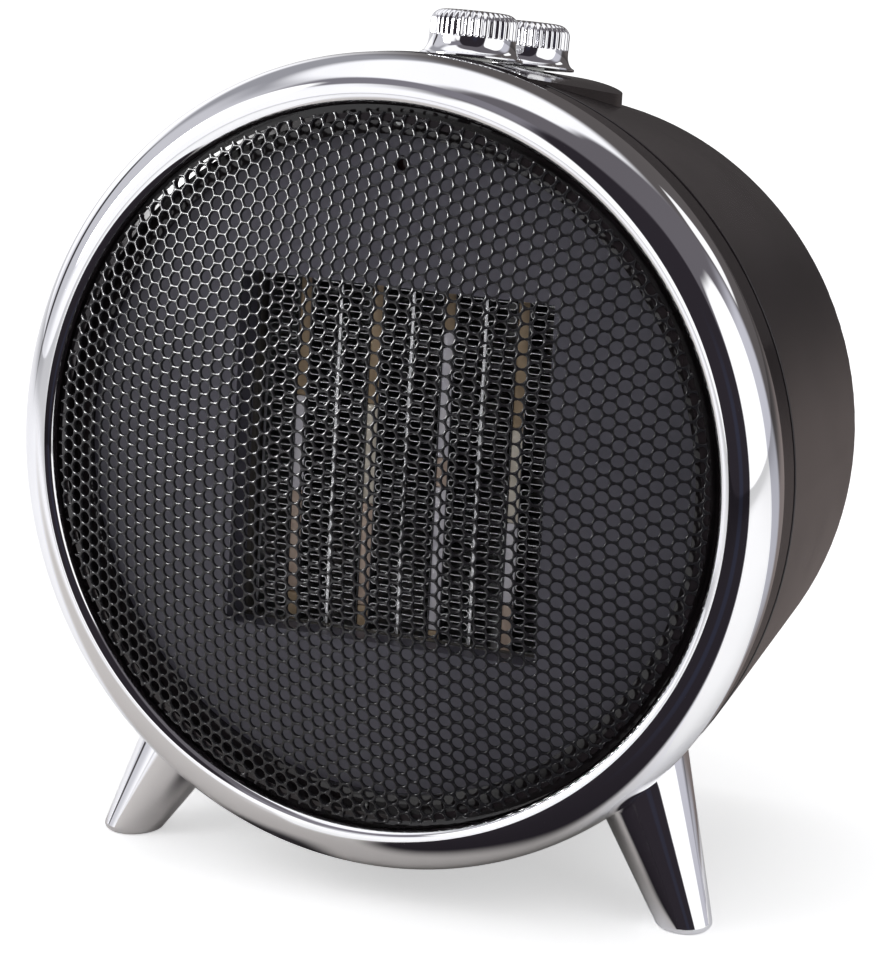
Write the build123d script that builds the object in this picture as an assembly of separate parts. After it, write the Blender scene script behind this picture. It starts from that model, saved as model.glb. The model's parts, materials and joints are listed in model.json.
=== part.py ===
from build123d import *
import math
import os

# Ceramic fan heater: a drum with a domed grille, a control panel on top and four legs.
# It is drawn in the drum's own frame, in millimetres: Y runs back along the drum's axis
# from the plane of the bezel's lip, X is to the right seen from the front, Z is up.
# At the end the drum is leaned back and stood on the floor.

# Stance
LEAN = 7.27
AXIS_HEIGHT = 141.5

# Clearances and screws
FIT = 0.1
RUNNING_FIT = 0.05
SCREW_GAP = 0.2
SEAM = 0.2
THREAD_GAP = 0.05
RIM_GAP = 0.3
HEAD_ROUNDING = 0.4

# Bezel
BEZEL_LIP_RADIUS = 113.3
BEZEL_LIP_WIDTH = 3.7
BEZEL_CREST_Y = -3.0
BEZEL_RADIUS = 128.8
BEZEL_WIDEST_Y = 11.4
BEZEL_REAR_TURN_IN = 1.5
BEZEL_REAR_Y = 19.0
BEZEL_WALL = 1.8
BEZEL_SCREW_Y = 14.2
BEZEL_SCREW_HEAD_RADIUS = 2.3
BEZEL_SCREW_HEAD_HEIGHT = 1.8
BEZEL_SCREW_RADIUS = 1.25
BEZEL_SCREW_LENGTH = 6.0
BEZEL_SPOT_DEPTH = 0.9

# Grille
GRILLE_RADIUS = 111.4
GRILLE_EDGE_Y = -2.0
GRILLE_RISE = 20.2
GRILLE_THICKNESS = 1.0
GRILLE_PITCH = 9.0
GRILLE_HOLE_RADIUS = 3.8
GRILLE_HOLE_MARGIN = 1.0

# Front frame: the black ring behind the bezel
BAND_FRONT_RADIUS = 126.5
BAND_REAR_RADIUS = 125.8
BAND_REAR_Y = 32.0
BAND_WALL = 3.2
BAND_ROUNDING = 0.4
GROOVE_WIDTH = 1.0
GROOVE_DEPTH = 1.2
WEB_Y = 5.0
WEB_THICKNESS = 3.0
WEB_INNER_RADIUS = 104.0
SEAT_INNER_RADIUS = 108.6
SEAT_OUTER_RADIUS = 110.8
SPIGOT_LENGTH = 3.0
SPIGOT_WALL = 2.5
SPIGOT_GAP = 1.6

# Screws that hold the front frame to the body shell
FRAME_SCREW_INSET = 7.7
FRAME_SCREW_ANGLE = 30.0
FRAME_SCREW_RADIUS = 1.5
FRAME_SCREW_HEAD_RADIUS = 2.7
FRAME_SCREW_HEAD_HEIGHT = 2.0
FRAME_SCREW_LENGTH = 14.0
FRAME_TUBE_BORE = 3.0
FRAME_TUBE_WALL = 1.2
SHELL_BOSS_RADIUS = 3.7
SHELL_BOSS_LENGTH = 14.0

# Body shell
SHELL_FRONT_RADIUS = 126.0
SHELL_REAR_RADIUS = 106.6
SHELL_REAR_Y = 148.5
SHELL_WALL = 2.5
SHELL_REAR_ROUNDING = 6.0
SHELL_FRONT_ROUNDING = 0.5

# Rear cover
COVER_RADIUS = 96.0
COVER_THICKNESS = 3.0
COVER_RECESS = 2.0
COVER_ROUNDING = 0.6
LEDGE_WIDTH = 6.0
LEDGE_THICKNESS = 2.5
COVER_SCREW_INSET = 4.5
COVER_SCREW_RADIUS = 1.5
COVER_SCREW_HEAD_RADIUS = 3.0
COVER_SCREW_HEAD_HEIGHT = 2.0
COVER_SCREW_LENGTH = 11.0
COVER_BOSS_RADIUS = 3.8
COVER_BOSS_LENGTH = 10.0
INTAKE_RADIUS = 72.0
INTAKE_PITCH = 8.0
INTAKE_SLOT_WIDTH = 5.0
INTAKE_ROWS = 3
INTAKE_RIB = 5.0
GLAND_INSET = 14.5
GLAND_NECK_RADIUS = 5.5
GLAND_FLANGE_RADIUS = 7.5
GLAND_FLANGE = 2.0
GLAND_BORE = 3.6

# Control panel
PANEL_HALF_WIDTH = 36.0
PANEL_STRAIGHT_END_Y = 90.0
PANEL_REAR_EDGE_RISE = 1.28
PANEL_SLOPE = 0.12
PAD_RADIUS = 15.0
PAD_DEPTH = 9.5
PAD_HEIGHT = 8.5
PAD_GAP = 0.5
KNOB_CUT = 38.0
SPOT_RADIUS = 9.0
SPOT_DEPTH = 0.35

# Knobs and what they turn
MODE_KNOB_Y = 56.0
KNOB_SPACING = 42.8
KNOB_LIFT = 0.5
KNOB_HEIGHT = 15.0
KNOB_RADIUS = 14.0
KNOB_SKIRT_RADIUS = 16.5
KNOB_SKIRT_EDGE = 0.9
KNOB_SKIRT_TOP = 5.6
KNOB_CROWN_START = 12.2
KNOB_CROWN_RADIUS = 10.6
KNOB_FLUTES = 40
FLUTE_RADIUS = 0.75
FLUTE_DEPTH = 0.5
FLUTE_START = 7.2
KNOB_CAVITY_RADIUS = 11.0
KNOB_CAVITY_TOP = 5.0
SHAFT_RADIUS = 3.0
SHAFT_TOP = 12.0
SHAFT_FLAT_START = 3.5
SHAFT_FLAT_OFFSET = 1.6
SHAFT_DEPTH = 17.5
BUSHING_RADIUS = 4.5
BUSHING_TOP = 2.8
NUT_RADIUS = 7.4
NUT_HEIGHT = 2.0
SWITCH_WIDTH = 22.0
SWITCH_HEIGHT = 14.0
SWITCH_TAB = (6.0, 0.8, 8.0)
SWITCH_TAB_SPREAD = 7.0

# Baffle plate
OUTLET_SIDE_MARGIN = 1.5
OUTLET_END_MARGIN = 0.5
BAFFLE_RADIUS = 113.8
BAFFLE_THICKNESS = 1.2
BAFFLE_FLANGE = 1.2
BAFFLE_BOSS_RADIUS = 3.5
BAFFLE_SCREW_CIRCLE = 108.0
BAFFLE_SCREW_RADIUS = 1.0
BAFFLE_SCREW_HEAD_RADIUS = 2.2
BAFFLE_SCREW_HEAD_HEIGHT = 1.5
BAFFLE_SCREW_LENGTH = 5.0
LAMP_Z = 95.0
LAMP_HOLE_RADIUS = 2.5
LAMP_RECESS = 2.0
LAMP_LENGTH = 9.0
LAMP_WALL = 1.2

# Heater
HEATER_FRONT_Y = 22.0
HEATER_DEPTH = 16.0
STRIP_COUNT = 4
STRIP_PITCH = 25.0
STRIP_WIDTH = 4.4
STRIP_SOCKET = 3.0
DIVIDER_THICKNESS = 0.9
FIN_PITCH = 4.0
FIN_CREST = 0.8
FIN_THICKNESS = 0.35
FRAME_LIP = 2.0
FRAME_SIDE_WIDTH = 7.0
FRAME_END_WIDTH = 10.0
WINDOW_SIDE_GAP = 2.0
WINDOW_HALF_HEIGHT = 56.0
HEATER_SCREW_SIDE_INSET = 3.5
HEATER_SCREW_END_INSET = 4.0
HEATER_SCREW_RADIUS = 1.5
HEATER_SCREW_HEAD_RADIUS = 2.8
HEATER_SCREW_HEAD_HEIGHT = 2.0
HEATER_SCREW_GRIP = 6.0
CUTOUT_RADIUS = 7.5
CUTOUT_HEIGHT = 6.0
CUTOUT_TAB = (0.8, 5.0, 7.0)

# Air duct and fan
DUCT_FLANGE = 2.0
DUCT_FLANGE_MARGIN = 3.0
DUCT_RADIUS = 60.0
DUCT_WALL = 2.0
DUCT_TAPER = 28.0
DUCT_RING = 28.0
DUCT_REAR_FLANGE_WIDTH = 8.0
FAN_TIP_GAP = 2.2
FAN_HUB_RADIUS = 17.0
FAN_FRONT_GAP = 6.0
FAN_DEPTH = 17.0
FAN_BLADES = 7
FAN_BLADE_THICKNESS = 2.0
FAN_BLADE_CHORD = 26.0
FAN_BLADE_ANGLE = 55.0
FAN_SCREW_HUB_DEPTH = 4.0

# Fan mount and motor
MOUNT_THICKNESS = 3.0
MOUNT_RING_WIDTH = 7.0
MOUNT_ARMS = 4
MOUNT_ARM_WIDTH = 8.0
MOUNT_HUB_RADIUS = 30.0
MOUNT_BORE_RADIUS = 9.0
MOUNT_SCREW_INSET = 3.0
MOUNT_SCREW_RADIUS = 1.4
MOUNT_SCREW_HEAD_RADIUS = 2.6
MOUNT_SCREW_HEAD_HEIGHT = 1.8
BRACKET_THICKNESS = 2.0
BRACKET_HALF_LENGTH = 29.0
BRACKET_HALF_HEIGHT = 9.0
BRACKET_POST = 5.0
BRACKET_POST_RADIUS = 4.0
MOTOR_SCREW_X = 23.0
MOTOR_SCREW_RADIUS = 1.6
MOTOR_SCREW_HEAD_RADIUS = 3.0
MOTOR_SCREW_HEAD_HEIGHT = 2.2
BEARING_RADIUS = 6.0
BEARING_LENGTH = 5.0
STATOR_HALF_WIDTH = 28.0
STATOR_BOTTOM = -20.0
STATOR_TOP = 42.0
STATOR_DEPTH = 18.0
STATOR_WINDOW_HALF_WIDTH = 16.0
STATOR_WINDOW_BOTTOM = 18.0
STATOR_WINDOW_TOP = 32.0
COIL_HALF_WIDTH = 14.0
COIL_BUILD = 6.0
ROTOR_RADIUS = 13.0
ROTOR_GAP = 0.4
MOTOR_SHAFT_RADIUS = 3.0
MOTOR_SHAFT_END = 3.0

# Terminal block
BLOCK_HALF_WIDTH = 15.0
BLOCK_FRONT_Y = 112.0
BLOCK_DEPTH = 18.0
BLOCK_HEIGHT = 12.0
BLOCK_DUCT_GAP = 18.0
BLOCK_POLES = 3
BLOCK_POLE_PITCH = 9.0
BLOCK_POLE_RADIUS = 2.5

# Tip-over switch, placed upright below the duct
TILT_Y = 73.5
TILT_DUCT_GAP = 16.0
TILT_HALF_WIDTH = 10.0
TILT_HALF_DEPTH = 17.0
TILT_WALL = 2.0
TILT_HEADROOM = 6.0
TILT_DEPTH = 24.0
TILT_PIN_RADIUS = 1.5
TILT_EYE_RADIUS = 3.5
TILT_ARM = 16.0
TILT_ARM_WIDTH = 3.0
TILT_BOB_RADIUS = 6.0
TILT_BOB_LENGTH = 9.0
TILT_SIDE_GAP = 0.3
TILT_PAD_HALF_WIDTH = 8.0
TILT_PAD_HALF_DEPTH = 12.0

# Legs, given where each axis meets the floor, with the lean per unit of height
LEG_FOOT_X = 99.6
LEG_FRONT_FOOT_Y = 16.3
LEG_REAR_FOOT_X = 54.0
LEG_REAR_FOOT_Y = 112.0
LEG_REAR_SIDE_SPLAY = 0.30
LEG_SIDE_SPLAY = 0.518
LEG_SPLAY = 0.340
LEG_FOOT_RADIUS = 8.4
LEG_FLARE = 0.157
LEG_EDGE = 1.8
LEG_OVERRUN = 30.0
LEG_PAD_RADIUS = 7.0
LEG_PAD_DEPTH = 8.5
LEG_SCREW_RADIUS = 2.0
LEG_SCREW_HEAD_RADIUS = 3.7
LEG_SCREW_HEAD_HEIGHT = 2.8
LEG_SCREW_LENGTH = 22.0

# Places worked out from the sizes above
BEZEL_CREST_RADIUS = BEZEL_LIP_RADIUS + BEZEL_LIP_WIDTH
BEZEL_REAR_RADIUS = BEZEL_RADIUS - BEZEL_REAR_TURN_IN
BEZEL_SPOT_RADIUS = BEZEL_RADIUS - BEZEL_SPOT_DEPTH
FRAME_SCREW_CIRCLE = SHELL_FRONT_RADIUS - FRAME_SCREW_INSET
COVER_SCREW_CIRCLE = COVER_RADIUS - COVER_SCREW_INSET
GLAND_Z = GLAND_INSET - COVER_RADIUS
WINDOW_HALF_WIDTH = STRIP_COUNT * STRIP_PITCH / 2 + WINDOW_SIDE_GAP
OUTLET_HALF_WIDTH = WINDOW_HALF_WIDTH + OUTLET_SIDE_MARGIN
OUTLET_HALF_HEIGHT = WINDOW_HALF_HEIGHT + OUTLET_END_MARGIN
FRAME_HALF_WIDTH = WINDOW_HALF_WIDTH + FRAME_SIDE_WIDTH
FRAME_HALF_HEIGHT = WINDOW_HALF_HEIGHT + FRAME_END_WIDTH
HEATER_SCREW_X = FRAME_HALF_WIDTH - HEATER_SCREW_SIDE_INSET
HEATER_SCREW_Z = FRAME_HALF_HEIGHT - HEATER_SCREW_END_INSET
DUCT_FLANGE_HALF_WIDTH = FRAME_HALF_WIDTH + DUCT_FLANGE_MARGIN
DUCT_FLANGE_HALF_HEIGHT = FRAME_HALF_HEIGHT + DUCT_FLANGE_MARGIN
DUCT_REAR_FLANGE_RADIUS = DUCT_RADIUS + DUCT_REAR_FLANGE_WIDTH
FAN_RADIUS = DUCT_RADIUS - FAN_TIP_GAP
MOUNT_SCREW_CIRCLE = DUCT_REAR_FLANGE_RADIUS - MOUNT_SCREW_INSET
TILT_PIVOT_Z = -DUCT_REAR_FLANGE_RADIUS - TILT_HEADROOM - TILT_WALL - TILT_DUCT_GAP
BLOCK_TOP_Z = -DUCT_REAR_FLANGE_RADIUS - BLOCK_DUCT_GAP
PANEL_FRONT_RADIUS = BEZEL_REAR_RADIUS + PANEL_REAR_EDGE_RISE
WEB_REAR_Y = WEB_Y + WEB_THICKNESS
SHELL_FRONT_Y = BAND_REAR_Y + GROOVE_WIDTH
SHELL_SLOPE = (SHELL_FRONT_RADIUS - SHELL_REAR_RADIUS) / (SHELL_REAR_Y - SHELL_FRONT_Y)
SPIGOT_REAR_Y = SHELL_FRONT_Y + SPIGOT_LENGTH
SPIGOT_RADIUS = SHELL_FRONT_RADIUS - SHELL_WALL - SPIGOT_GAP
FRAME_NECK_RADIUS = SHELL_FRONT_RADIUS - GROOVE_DEPTH
COVER_REAR_Y = SHELL_REAR_Y - COVER_RECESS
COVER_FRONT_Y = COVER_REAR_Y - COVER_THICKNESS
LEDGE_FRONT_Y = COVER_FRONT_Y - LEDGE_THICKNESS
BAFFLE_REAR_Y = WEB_REAR_Y + BAFFLE_THICKNESS
FRAME_FRONT_Y = HEATER_FRONT_Y - FRAME_LIP
FRAME_REAR_Y = HEATER_FRONT_Y + HEATER_DEPTH + FRAME_LIP
DUCT_FLANGE_REAR_Y = FRAME_REAR_Y + DUCT_FLANGE
DUCT_RING_Y = DUCT_FLANGE_REAR_Y + DUCT_TAPER
DUCT_REAR_Y = DUCT_RING_Y + DUCT_RING
FAN_FRONT_Y = DUCT_RING_Y + FAN_FRONT_GAP
FAN_REAR_Y = FAN_FRONT_Y + FAN_DEPTH
MOUNT_REAR_Y = DUCT_REAR_Y + MOUNT_THICKNESS
STATOR_FRONT_Y = MOUNT_REAR_Y + BRACKET_THICKNESS + BRACKET_POST
STATOR_REAR_Y = STATOR_FRONT_Y + STATOR_DEPTH
MOTOR_REAR_Y = STATOR_REAR_Y + BRACKET_POST + BRACKET_THICKNESS
THERMOSTAT_Y = MODE_KNOB_Y + KNOB_SPACING
STRIP_XS = [(i - (STRIP_COUNT - 1) / 2) * STRIP_PITCH for i in range(STRIP_COUNT)]
DIVIDER_XS = [(i - STRIP_COUNT / 2) * STRIP_PITCH for i in range(STRIP_COUNT + 1)]
DOME_RADIUS = (GRILLE_RADIUS**2 + GRILLE_RISE**2) / (2 * GRILLE_RISE)
DOME_CENTRE_Y = GRILLE_EDGE_Y - GRILLE_RISE + DOME_RADIUS

BOTTOM = (Align.CENTER, Align.CENTER, Align.MIN)
DIAGONAL = 45


# Helpers

def turned(outline):
    """Turns an outline of (radius, distance along the axis) about the drum's axis."""
    return revolve(make_face(outline), Axis.Y)


def turned_up(outline):
    """Turns an outline of (radius, height) about an upright axis."""
    return revolve(Plane.XZ * make_face(outline), Axis.Z)


def ring(inner, outer, start, end):
    """A plain ring about the drum's axis between two stations."""
    corners = [(inner, start), (outer, start), (outer, end), (inner, end)]
    return turned(Polyline(*corners, close=True))


def rod(radius, start, end, x=0.0, z=0.0):
    """A cylinder parallel to the drum's axis."""
    return Pos(x, start, z) * Rot(X=-90) * Cylinder(radius, end - start, align=BOTTOM)


def block(x_span, y_span, z_span):
    """A box given by its limits on each axis."""
    spans = (x_span, y_span, z_span)
    middle = [(low + high) / 2 for low, high in spans]
    size = [high - low for low, high in spans]
    return Pos(*middle) * Box(*size)


def outer_rim(shape, y):
    """The widest round edge of a turned shape at a station."""
    circles = shape.edges().filter_by(GeomType.CIRCLE).filter_by_position(Axis.Y, y, y)
    return circles.sort_by(SortBy.RADIUS)[-1:]


def both(half):
    """The span from minus to plus a half size."""
    return (-half, half)


def group(pieces):
    """Several loose solids that share one node."""
    return Compound(children=[solid for piece in pieces for solid in piece.solids()])


def headed_screw(radius, length, head_radius, head_height):
    """A screw along Z: its head is above the origin and its shank below."""
    shank = Pos(0, 0, -length) * Cylinder(radius, length, align=BOTTOM)
    head = Cylinder(head_radius, head_height, align=BOTTOM)
    crown = head.edges().group_by(Axis.Z)[-1]
    return shank + fillet(crown, head_height * HEAD_ROUNDING)


def shell_radius(y):
    """Outer radius of the body shell at a station."""
    return SHELL_FRONT_RADIUS - SHELL_SLOPE * (y - SHELL_FRONT_Y)


def panel_radius(y):
    """Radius of the control panel's top surface at a station."""
    return PANEL_FRONT_RADIUS - PANEL_SLOPE * (y - BEZEL_REAR_Y)


def plumb(shape):
    """Takes a shape drawn upright in the room into the leaning drum's frame."""
    return Rot(X=LEAN) * shape


def frame_screw_places():
    """Four places on the frame screws' circle, as (x, z)."""
    angle = math.radians(FRAME_SCREW_ANGLE)
    x = FRAME_SCREW_CIRCLE * math.cos(angle)
    z = FRAME_SCREW_CIRCLE * math.sin(angle)
    return [(side * x, level * z) for side in (-1, 1) for level in (-1, 1)]


def on_circle(radius, count, first=0.0):
    """Even places on a circle about the drum's axis, as (x, z)."""
    angles = [math.radians(first + 360.0 * i / count) for i in range(count)]
    return [(radius * math.cos(a), radius * math.sin(a)) for a in angles]


def envelope():
    """The drum's outer form behind the bezel, filled solid."""
    corners = [
        (0, BEZEL_REAR_Y),
        (BAND_FRONT_RADIUS, BEZEL_REAR_Y),
        (BAND_REAR_RADIUS, BAND_REAR_Y),
        (SHELL_FRONT_RADIUS, SHELL_FRONT_Y),
        (SHELL_REAR_RADIUS, SHELL_REAR_Y),
        (0, SHELL_REAR_Y),
    ]
    return turned(Polyline(*corners, close=True))


# Front: bezel, grille, frame and baffle plate

def front_bezel():
    crest = (BEZEL_CREST_RADIUS, BEZEL_CREST_Y)
    widest = (BEZEL_RADIUS, BEZEL_WIDEST_Y)
    rear = (BEZEL_REAR_RADIUS, BEZEL_REAR_Y)
    lip = (BEZEL_LIP_RADIUS, 0)
    bulge_width = BEZEL_RADIUS - BEZEL_CREST_RADIUS
    bulge_depth = BEZEL_WIDEST_Y - BEZEL_CREST_Y
    centre = (BEZEL_CREST_RADIUS, BEZEL_WIDEST_Y)
    outside = Line((BEZEL_LIP_RADIUS, WEB_Y), lip)
    outside += TangentArc(crest, lip, tangent=(1, 0))
    outside += EllipticalCenterArc(centre, bulge_width, bulge_depth, 270, arc_size=90)
    outside += TangentArc(widest, rear, tangent=(0, 1))
    hollow_width = bulge_width - BEZEL_WALL
    hollow_depth = bulge_depth - BEZEL_WALL
    lip_back = BEZEL_LIP_RADIUS + BEZEL_WALL
    inside = Line(rear, (BEZEL_REAR_RADIUS - BEZEL_WALL, BEZEL_REAR_Y))
    inside += Line(inside @ 1, (BEZEL_RADIUS - BEZEL_WALL, BEZEL_WIDEST_Y))
    inside += EllipticalCenterArc(centre, hollow_width, hollow_depth, 270, arc_size=90)
    inside += Line((BEZEL_CREST_RADIUS, BEZEL_CREST_Y + BEZEL_WALL), (lip_back, BEZEL_WALL))
    inside += Line((lip_back, BEZEL_WALL), (lip_back, WEB_Y))
    inside += Line((lip_back, WEB_Y), (BEZEL_LIP_RADIUS, WEB_Y))
    spot = Pos(0, BEZEL_SCREW_Y, 0) * Rot(X=180) * Pos(0, 0, BEZEL_SPOT_RADIUS)
    seat = spot * Cylinder(BEZEL_SCREW_HEAD_RADIUS + SCREW_GAP, BEZEL_SCREW_LENGTH, align=BOTTOM)
    hole = spot * Cylinder(BEZEL_SCREW_RADIUS + SCREW_GAP, BEZEL_SCREW_LENGTH)
    return turned(outside + inside) - seat - hole


def bezel_screw():
    screw = headed_screw(
        BEZEL_SCREW_RADIUS, BEZEL_SCREW_LENGTH, BEZEL_SCREW_HEAD_RADIUS, BEZEL_SCREW_HEAD_HEIGHT
    )
    return Pos(0, BEZEL_SCREW_Y, 0) * Rot(X=180) * Pos(0, 0, BEZEL_SPOT_RADIUS) * screw


def dome(radius):
    """A ball on the grille's centre of curvature."""
    return Pos(0, DOME_CENTRE_Y, 0) * Sphere(radius)


def grille_hole_places():
    """Places of a honeycomb with upright columns, as (x, z), inside the grille's edge."""
    reach = GRILLE_RADIUS - GRILLE_HOLE_RADIUS - GRILLE_HOLE_MARGIN
    column_step = GRILLE_PITCH * math.sqrt(3) / 2
    columns = math.ceil(reach / column_step)
    rows = math.ceil(reach / GRILLE_PITCH)
    places = []
    for column in range(-columns, columns + 1):
        shift = (column % 2) / 2
        for row in range(-rows - 1, rows + 1):
            place = (column * column_step, (row + shift) * GRILLE_PITCH)
            if math.hypot(*place) < reach:
                places.append(place)
    return places


def front_grille():
    sheet = rod(GRILLE_RADIUS, -2 * GRILLE_RISE, GRILLE_RISE)
    sheet &= dome(DOME_RADIUS) - dome(DOME_RADIUS - GRILLE_THICKNESS)
    punch = Pos(0, 0, DOME_RADIUS - 2 * GRILLE_THICKNESS) * Cylinder(
        GRILLE_HOLE_RADIUS, 3 * GRILLE_THICKNESS, align=BOTTOM
    )
    centre = Vector(0, DOME_CENTRE_Y, 0)
    punches = []
    for x, z in grille_hole_places():
        rise = -math.sqrt(DOME_RADIUS**2 - x**2 - z**2)
        punches.append(Plane(centre, z_dir=(x, rise, z)).location * punch)
    return sheet - punches


def front_frame():
    """The black ring: a web and a rim that back the bezel, a band and a spigot for the shell."""
    spigot_inner = SPIGOT_RADIUS - SPIGOT_WALL
    wall_inner = BAND_FRONT_RADIUS - BAND_WALL
    front_radius = BEZEL_REAR_RADIUS - BEZEL_WALL - FIT
    flange_y = SHELL_FRONT_Y - WEB_THICKNESS
    rim_inner = BEZEL_LIP_RADIUS + BEZEL_WALL + RIM_GAP
    rim_width = BEZEL_RADIUS - BEZEL_CREST_RADIUS - BEZEL_WALL - RIM_GAP
    rim_depth = BEZEL_WIDEST_Y - BEZEL_CREST_Y - BEZEL_WALL - RIM_GAP
    rim_turn = math.degrees(math.asin((front_radius - BEZEL_CREST_RADIUS) / rim_width))
    crest = (BEZEL_CREST_RADIUS, BEZEL_WIDEST_Y)
    rim = EllipticalCenterArc(crest, rim_width, rim_depth, 270, arc_size=rim_turn)
    corners = [
        rim @ 1,
        (front_radius, BEZEL_REAR_Y),
        (BAND_FRONT_RADIUS, BEZEL_REAR_Y),
        (BAND_REAR_RADIUS, BAND_REAR_Y),
        (FRAME_NECK_RADIUS, BAND_REAR_Y),
        (FRAME_NECK_RADIUS, SHELL_FRONT_Y),
        (SPIGOT_RADIUS, SHELL_FRONT_Y),
        (SPIGOT_RADIUS, SPIGOT_REAR_Y),
        (spigot_inner, SPIGOT_REAR_Y),
        (spigot_inner, flange_y),
        (wall_inner, flange_y),
        (wall_inner, WEB_REAR_Y),
        (WEB_INNER_RADIUS, WEB_REAR_Y),
        (WEB_INNER_RADIUS, WEB_Y),
        (rim_inner, WEB_Y),
        (rim_inner, BEZEL_WALL + RIM_GAP),
        rim @ 0,
    ]
    frame = turned(rim + Polyline(*corners))
    frame = fillet(outer_rim(frame, BEZEL_REAR_Y) + outer_rim(frame, BAND_REAR_Y), BAND_ROUNDING)
    frame += ring(SEAT_INNER_RADIUS, SEAT_OUTER_RADIUS, -GRILLE_RISE, WEB_Y) & dome(
        DOME_RADIUS - GRILLE_THICKNESS
    )
    tube_radius = FRAME_TUBE_BORE + FRAME_TUBE_WALL
    inside_spigot = rod(SPIGOT_RADIUS, SHELL_FRONT_Y, SPIGOT_REAR_Y)
    for x, z in frame_screw_places():
        frame += rod(tube_radius, WEB_Y, SHELL_FRONT_Y, x, z)
        frame += rod(tube_radius, SHELL_FRONT_Y, SPIGOT_REAR_Y, x, z) & inside_spigot
    for x, z in frame_screw_places():
        frame -= rod(FRAME_TUBE_BORE, WEB_Y, SHELL_FRONT_Y, x, z)
        frame -= rod(FRAME_SCREW_RADIUS + SCREW_GAP, SHELL_FRONT_Y, SPIGOT_REAR_Y, x, z)
    for x, z in on_circle(BAFFLE_SCREW_CIRCLE, 4):
        frame -= rod(BAFFLE_SCREW_RADIUS, BAFFLE_REAR_Y - BAFFLE_SCREW_LENGTH, BAFFLE_REAR_Y, x, z)
    hole = Cylinder(BEZEL_SCREW_RADIUS, BEZEL_SCREW_LENGTH)
    frame -= Pos(0, BEZEL_SCREW_Y, -BEZEL_SPOT_RADIUS + BEZEL_SCREW_LENGTH / 2) * hole
    return frame


def frame_screws():
    screw = headed_screw(
        FRAME_SCREW_RADIUS, FRAME_SCREW_LENGTH, FRAME_SCREW_HEAD_RADIUS, FRAME_SCREW_HEAD_HEIGHT
    )
    places = frame_screw_places()
    return group([Pos(x, SHELL_FRONT_Y, z) * Rot(X=90) * screw for x, z in places])


def baffle_plate():
    plate = rod(BAFFLE_RADIUS, WEB_REAR_Y, BAFFLE_REAR_Y)
    collar_width = OUTLET_HALF_WIDTH + BAFFLE_FLANGE
    collar_height = OUTLET_HALF_HEIGHT + BAFFLE_FLANGE
    plate += block(both(collar_width), (BAFFLE_REAR_Y, FRAME_FRONT_Y), both(collar_height))
    opening_depth = (WEB_REAR_Y, FRAME_FRONT_Y)
    plate -= block(both(OUTLET_HALF_WIDTH), opening_depth, both(OUTLET_HALF_HEIGHT))
    for x, z in heater_screw_places():
        plate += rod(BAFFLE_BOSS_RADIUS, BAFFLE_REAR_Y, FRAME_FRONT_Y, x, z)
        plate -= rod(HEATER_SCREW_RADIUS, FRAME_FRONT_Y - HEATER_SCREW_GRIP, FRAME_FRONT_Y, x, z)
    for x, z in on_circle(BAFFLE_SCREW_CIRCLE, 4):
        plate -= rod(BAFFLE_SCREW_RADIUS + SCREW_GAP, WEB_REAR_Y, BAFFLE_REAR_Y, x, z)
    return plate - rod(LAMP_HOLE_RADIUS, WEB_REAR_Y, BAFFLE_REAR_Y, 0, LAMP_Z)


def baffle_screws():
    screw = headed_screw(
        BAFFLE_SCREW_RADIUS, BAFFLE_SCREW_LENGTH, BAFFLE_SCREW_HEAD_RADIUS, BAFFLE_SCREW_HEAD_HEIGHT
    )
    places = on_circle(BAFFLE_SCREW_CIRCLE, 4)
    return group([Pos(x, BAFFLE_REAR_Y, z) * Rot(X=-90) * screw for x, z in places])


def pilot_lamp():
    holder = rod(LAMP_HOLE_RADIUS + LAMP_WALL, BAFFLE_REAR_Y, BAFFLE_REAR_Y + LAMP_LENGTH, 0, LAMP_Z)
    recess = rod(LAMP_HOLE_RADIUS, BAFFLE_REAR_Y, BAFFLE_REAR_Y + LAMP_RECESS, 0, LAMP_Z)
    return holder - recess


# Heater

def heater_screw_places():
    """The heater frame's four corner screws, as (x, z)."""
    return [(x * HEATER_SCREW_X, z * HEATER_SCREW_Z) for x in (-1, 1) for z in (-1, 1)]


def strip_block(x, clearance=0.0):
    """The space of one ceramic strip, widened by a clearance."""
    half_width = STRIP_WIDTH / 2 + clearance
    half_height = WINDOW_HALF_HEIGHT + STRIP_SOCKET
    depth = (HEATER_FRONT_Y - clearance, HEATER_FRONT_Y + HEATER_DEPTH + clearance)
    return block((x - half_width, x + half_width), depth, both(half_height))


def heater_frame():
    depth = (FRAME_FRONT_Y, FRAME_REAR_Y)
    frame = block(both(FRAME_HALF_WIDTH), depth, both(FRAME_HALF_HEIGHT))
    frame -= block(both(WINDOW_HALF_WIDTH), depth, both(WINDOW_HALF_HEIGHT))
    for x in STRIP_XS:
        frame -= strip_block(x, FIT)
    for x, z in heater_screw_places():
        frame -= rod(HEATER_SCREW_RADIUS + SCREW_GAP, *depth, x, z)
    return frame


def heater_fin(start, end):
    """A corrugated fin whose crests rest on the faces at start and end."""
    half = FIN_THICKNESS / 2
    low = min(start, end) + half
    high = max(start, end) - half
    ramp = FIN_PITCH / 2 - FIN_CREST
    turn = math.pi / 2 - math.atan2(ramp, high - low)
    mitre = half * math.tan(turn / 2)
    waves = int(2 * WINDOW_HALF_HEIGHT / FIN_PITCH)
    left = []
    right = []
    for wave in range(waves):
        first = -WINDOW_HALF_HEIGHT + half + wave * FIN_PITCH
        second = first + FIN_CREST + ramp
        left += [(low - half, first - mitre), (low - half, first + FIN_CREST + mitre)]
        left += [(high - half, second + mitre), (high - half, second + FIN_CREST - mitre)]
        right += [(low + half, first + mitre), (low + half, first + FIN_CREST - mitre)]
        right += [(high + half, second - mitre), (high + half, second + FIN_CREST + mitre)]
    outline = Plane.XZ * make_face(Polyline(*left, *reversed(right), close=True))
    return Pos(0, HEATER_FRONT_Y, 0) * extrude(outline, amount=HEATER_DEPTH, dir=(0, 1, 0))


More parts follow.
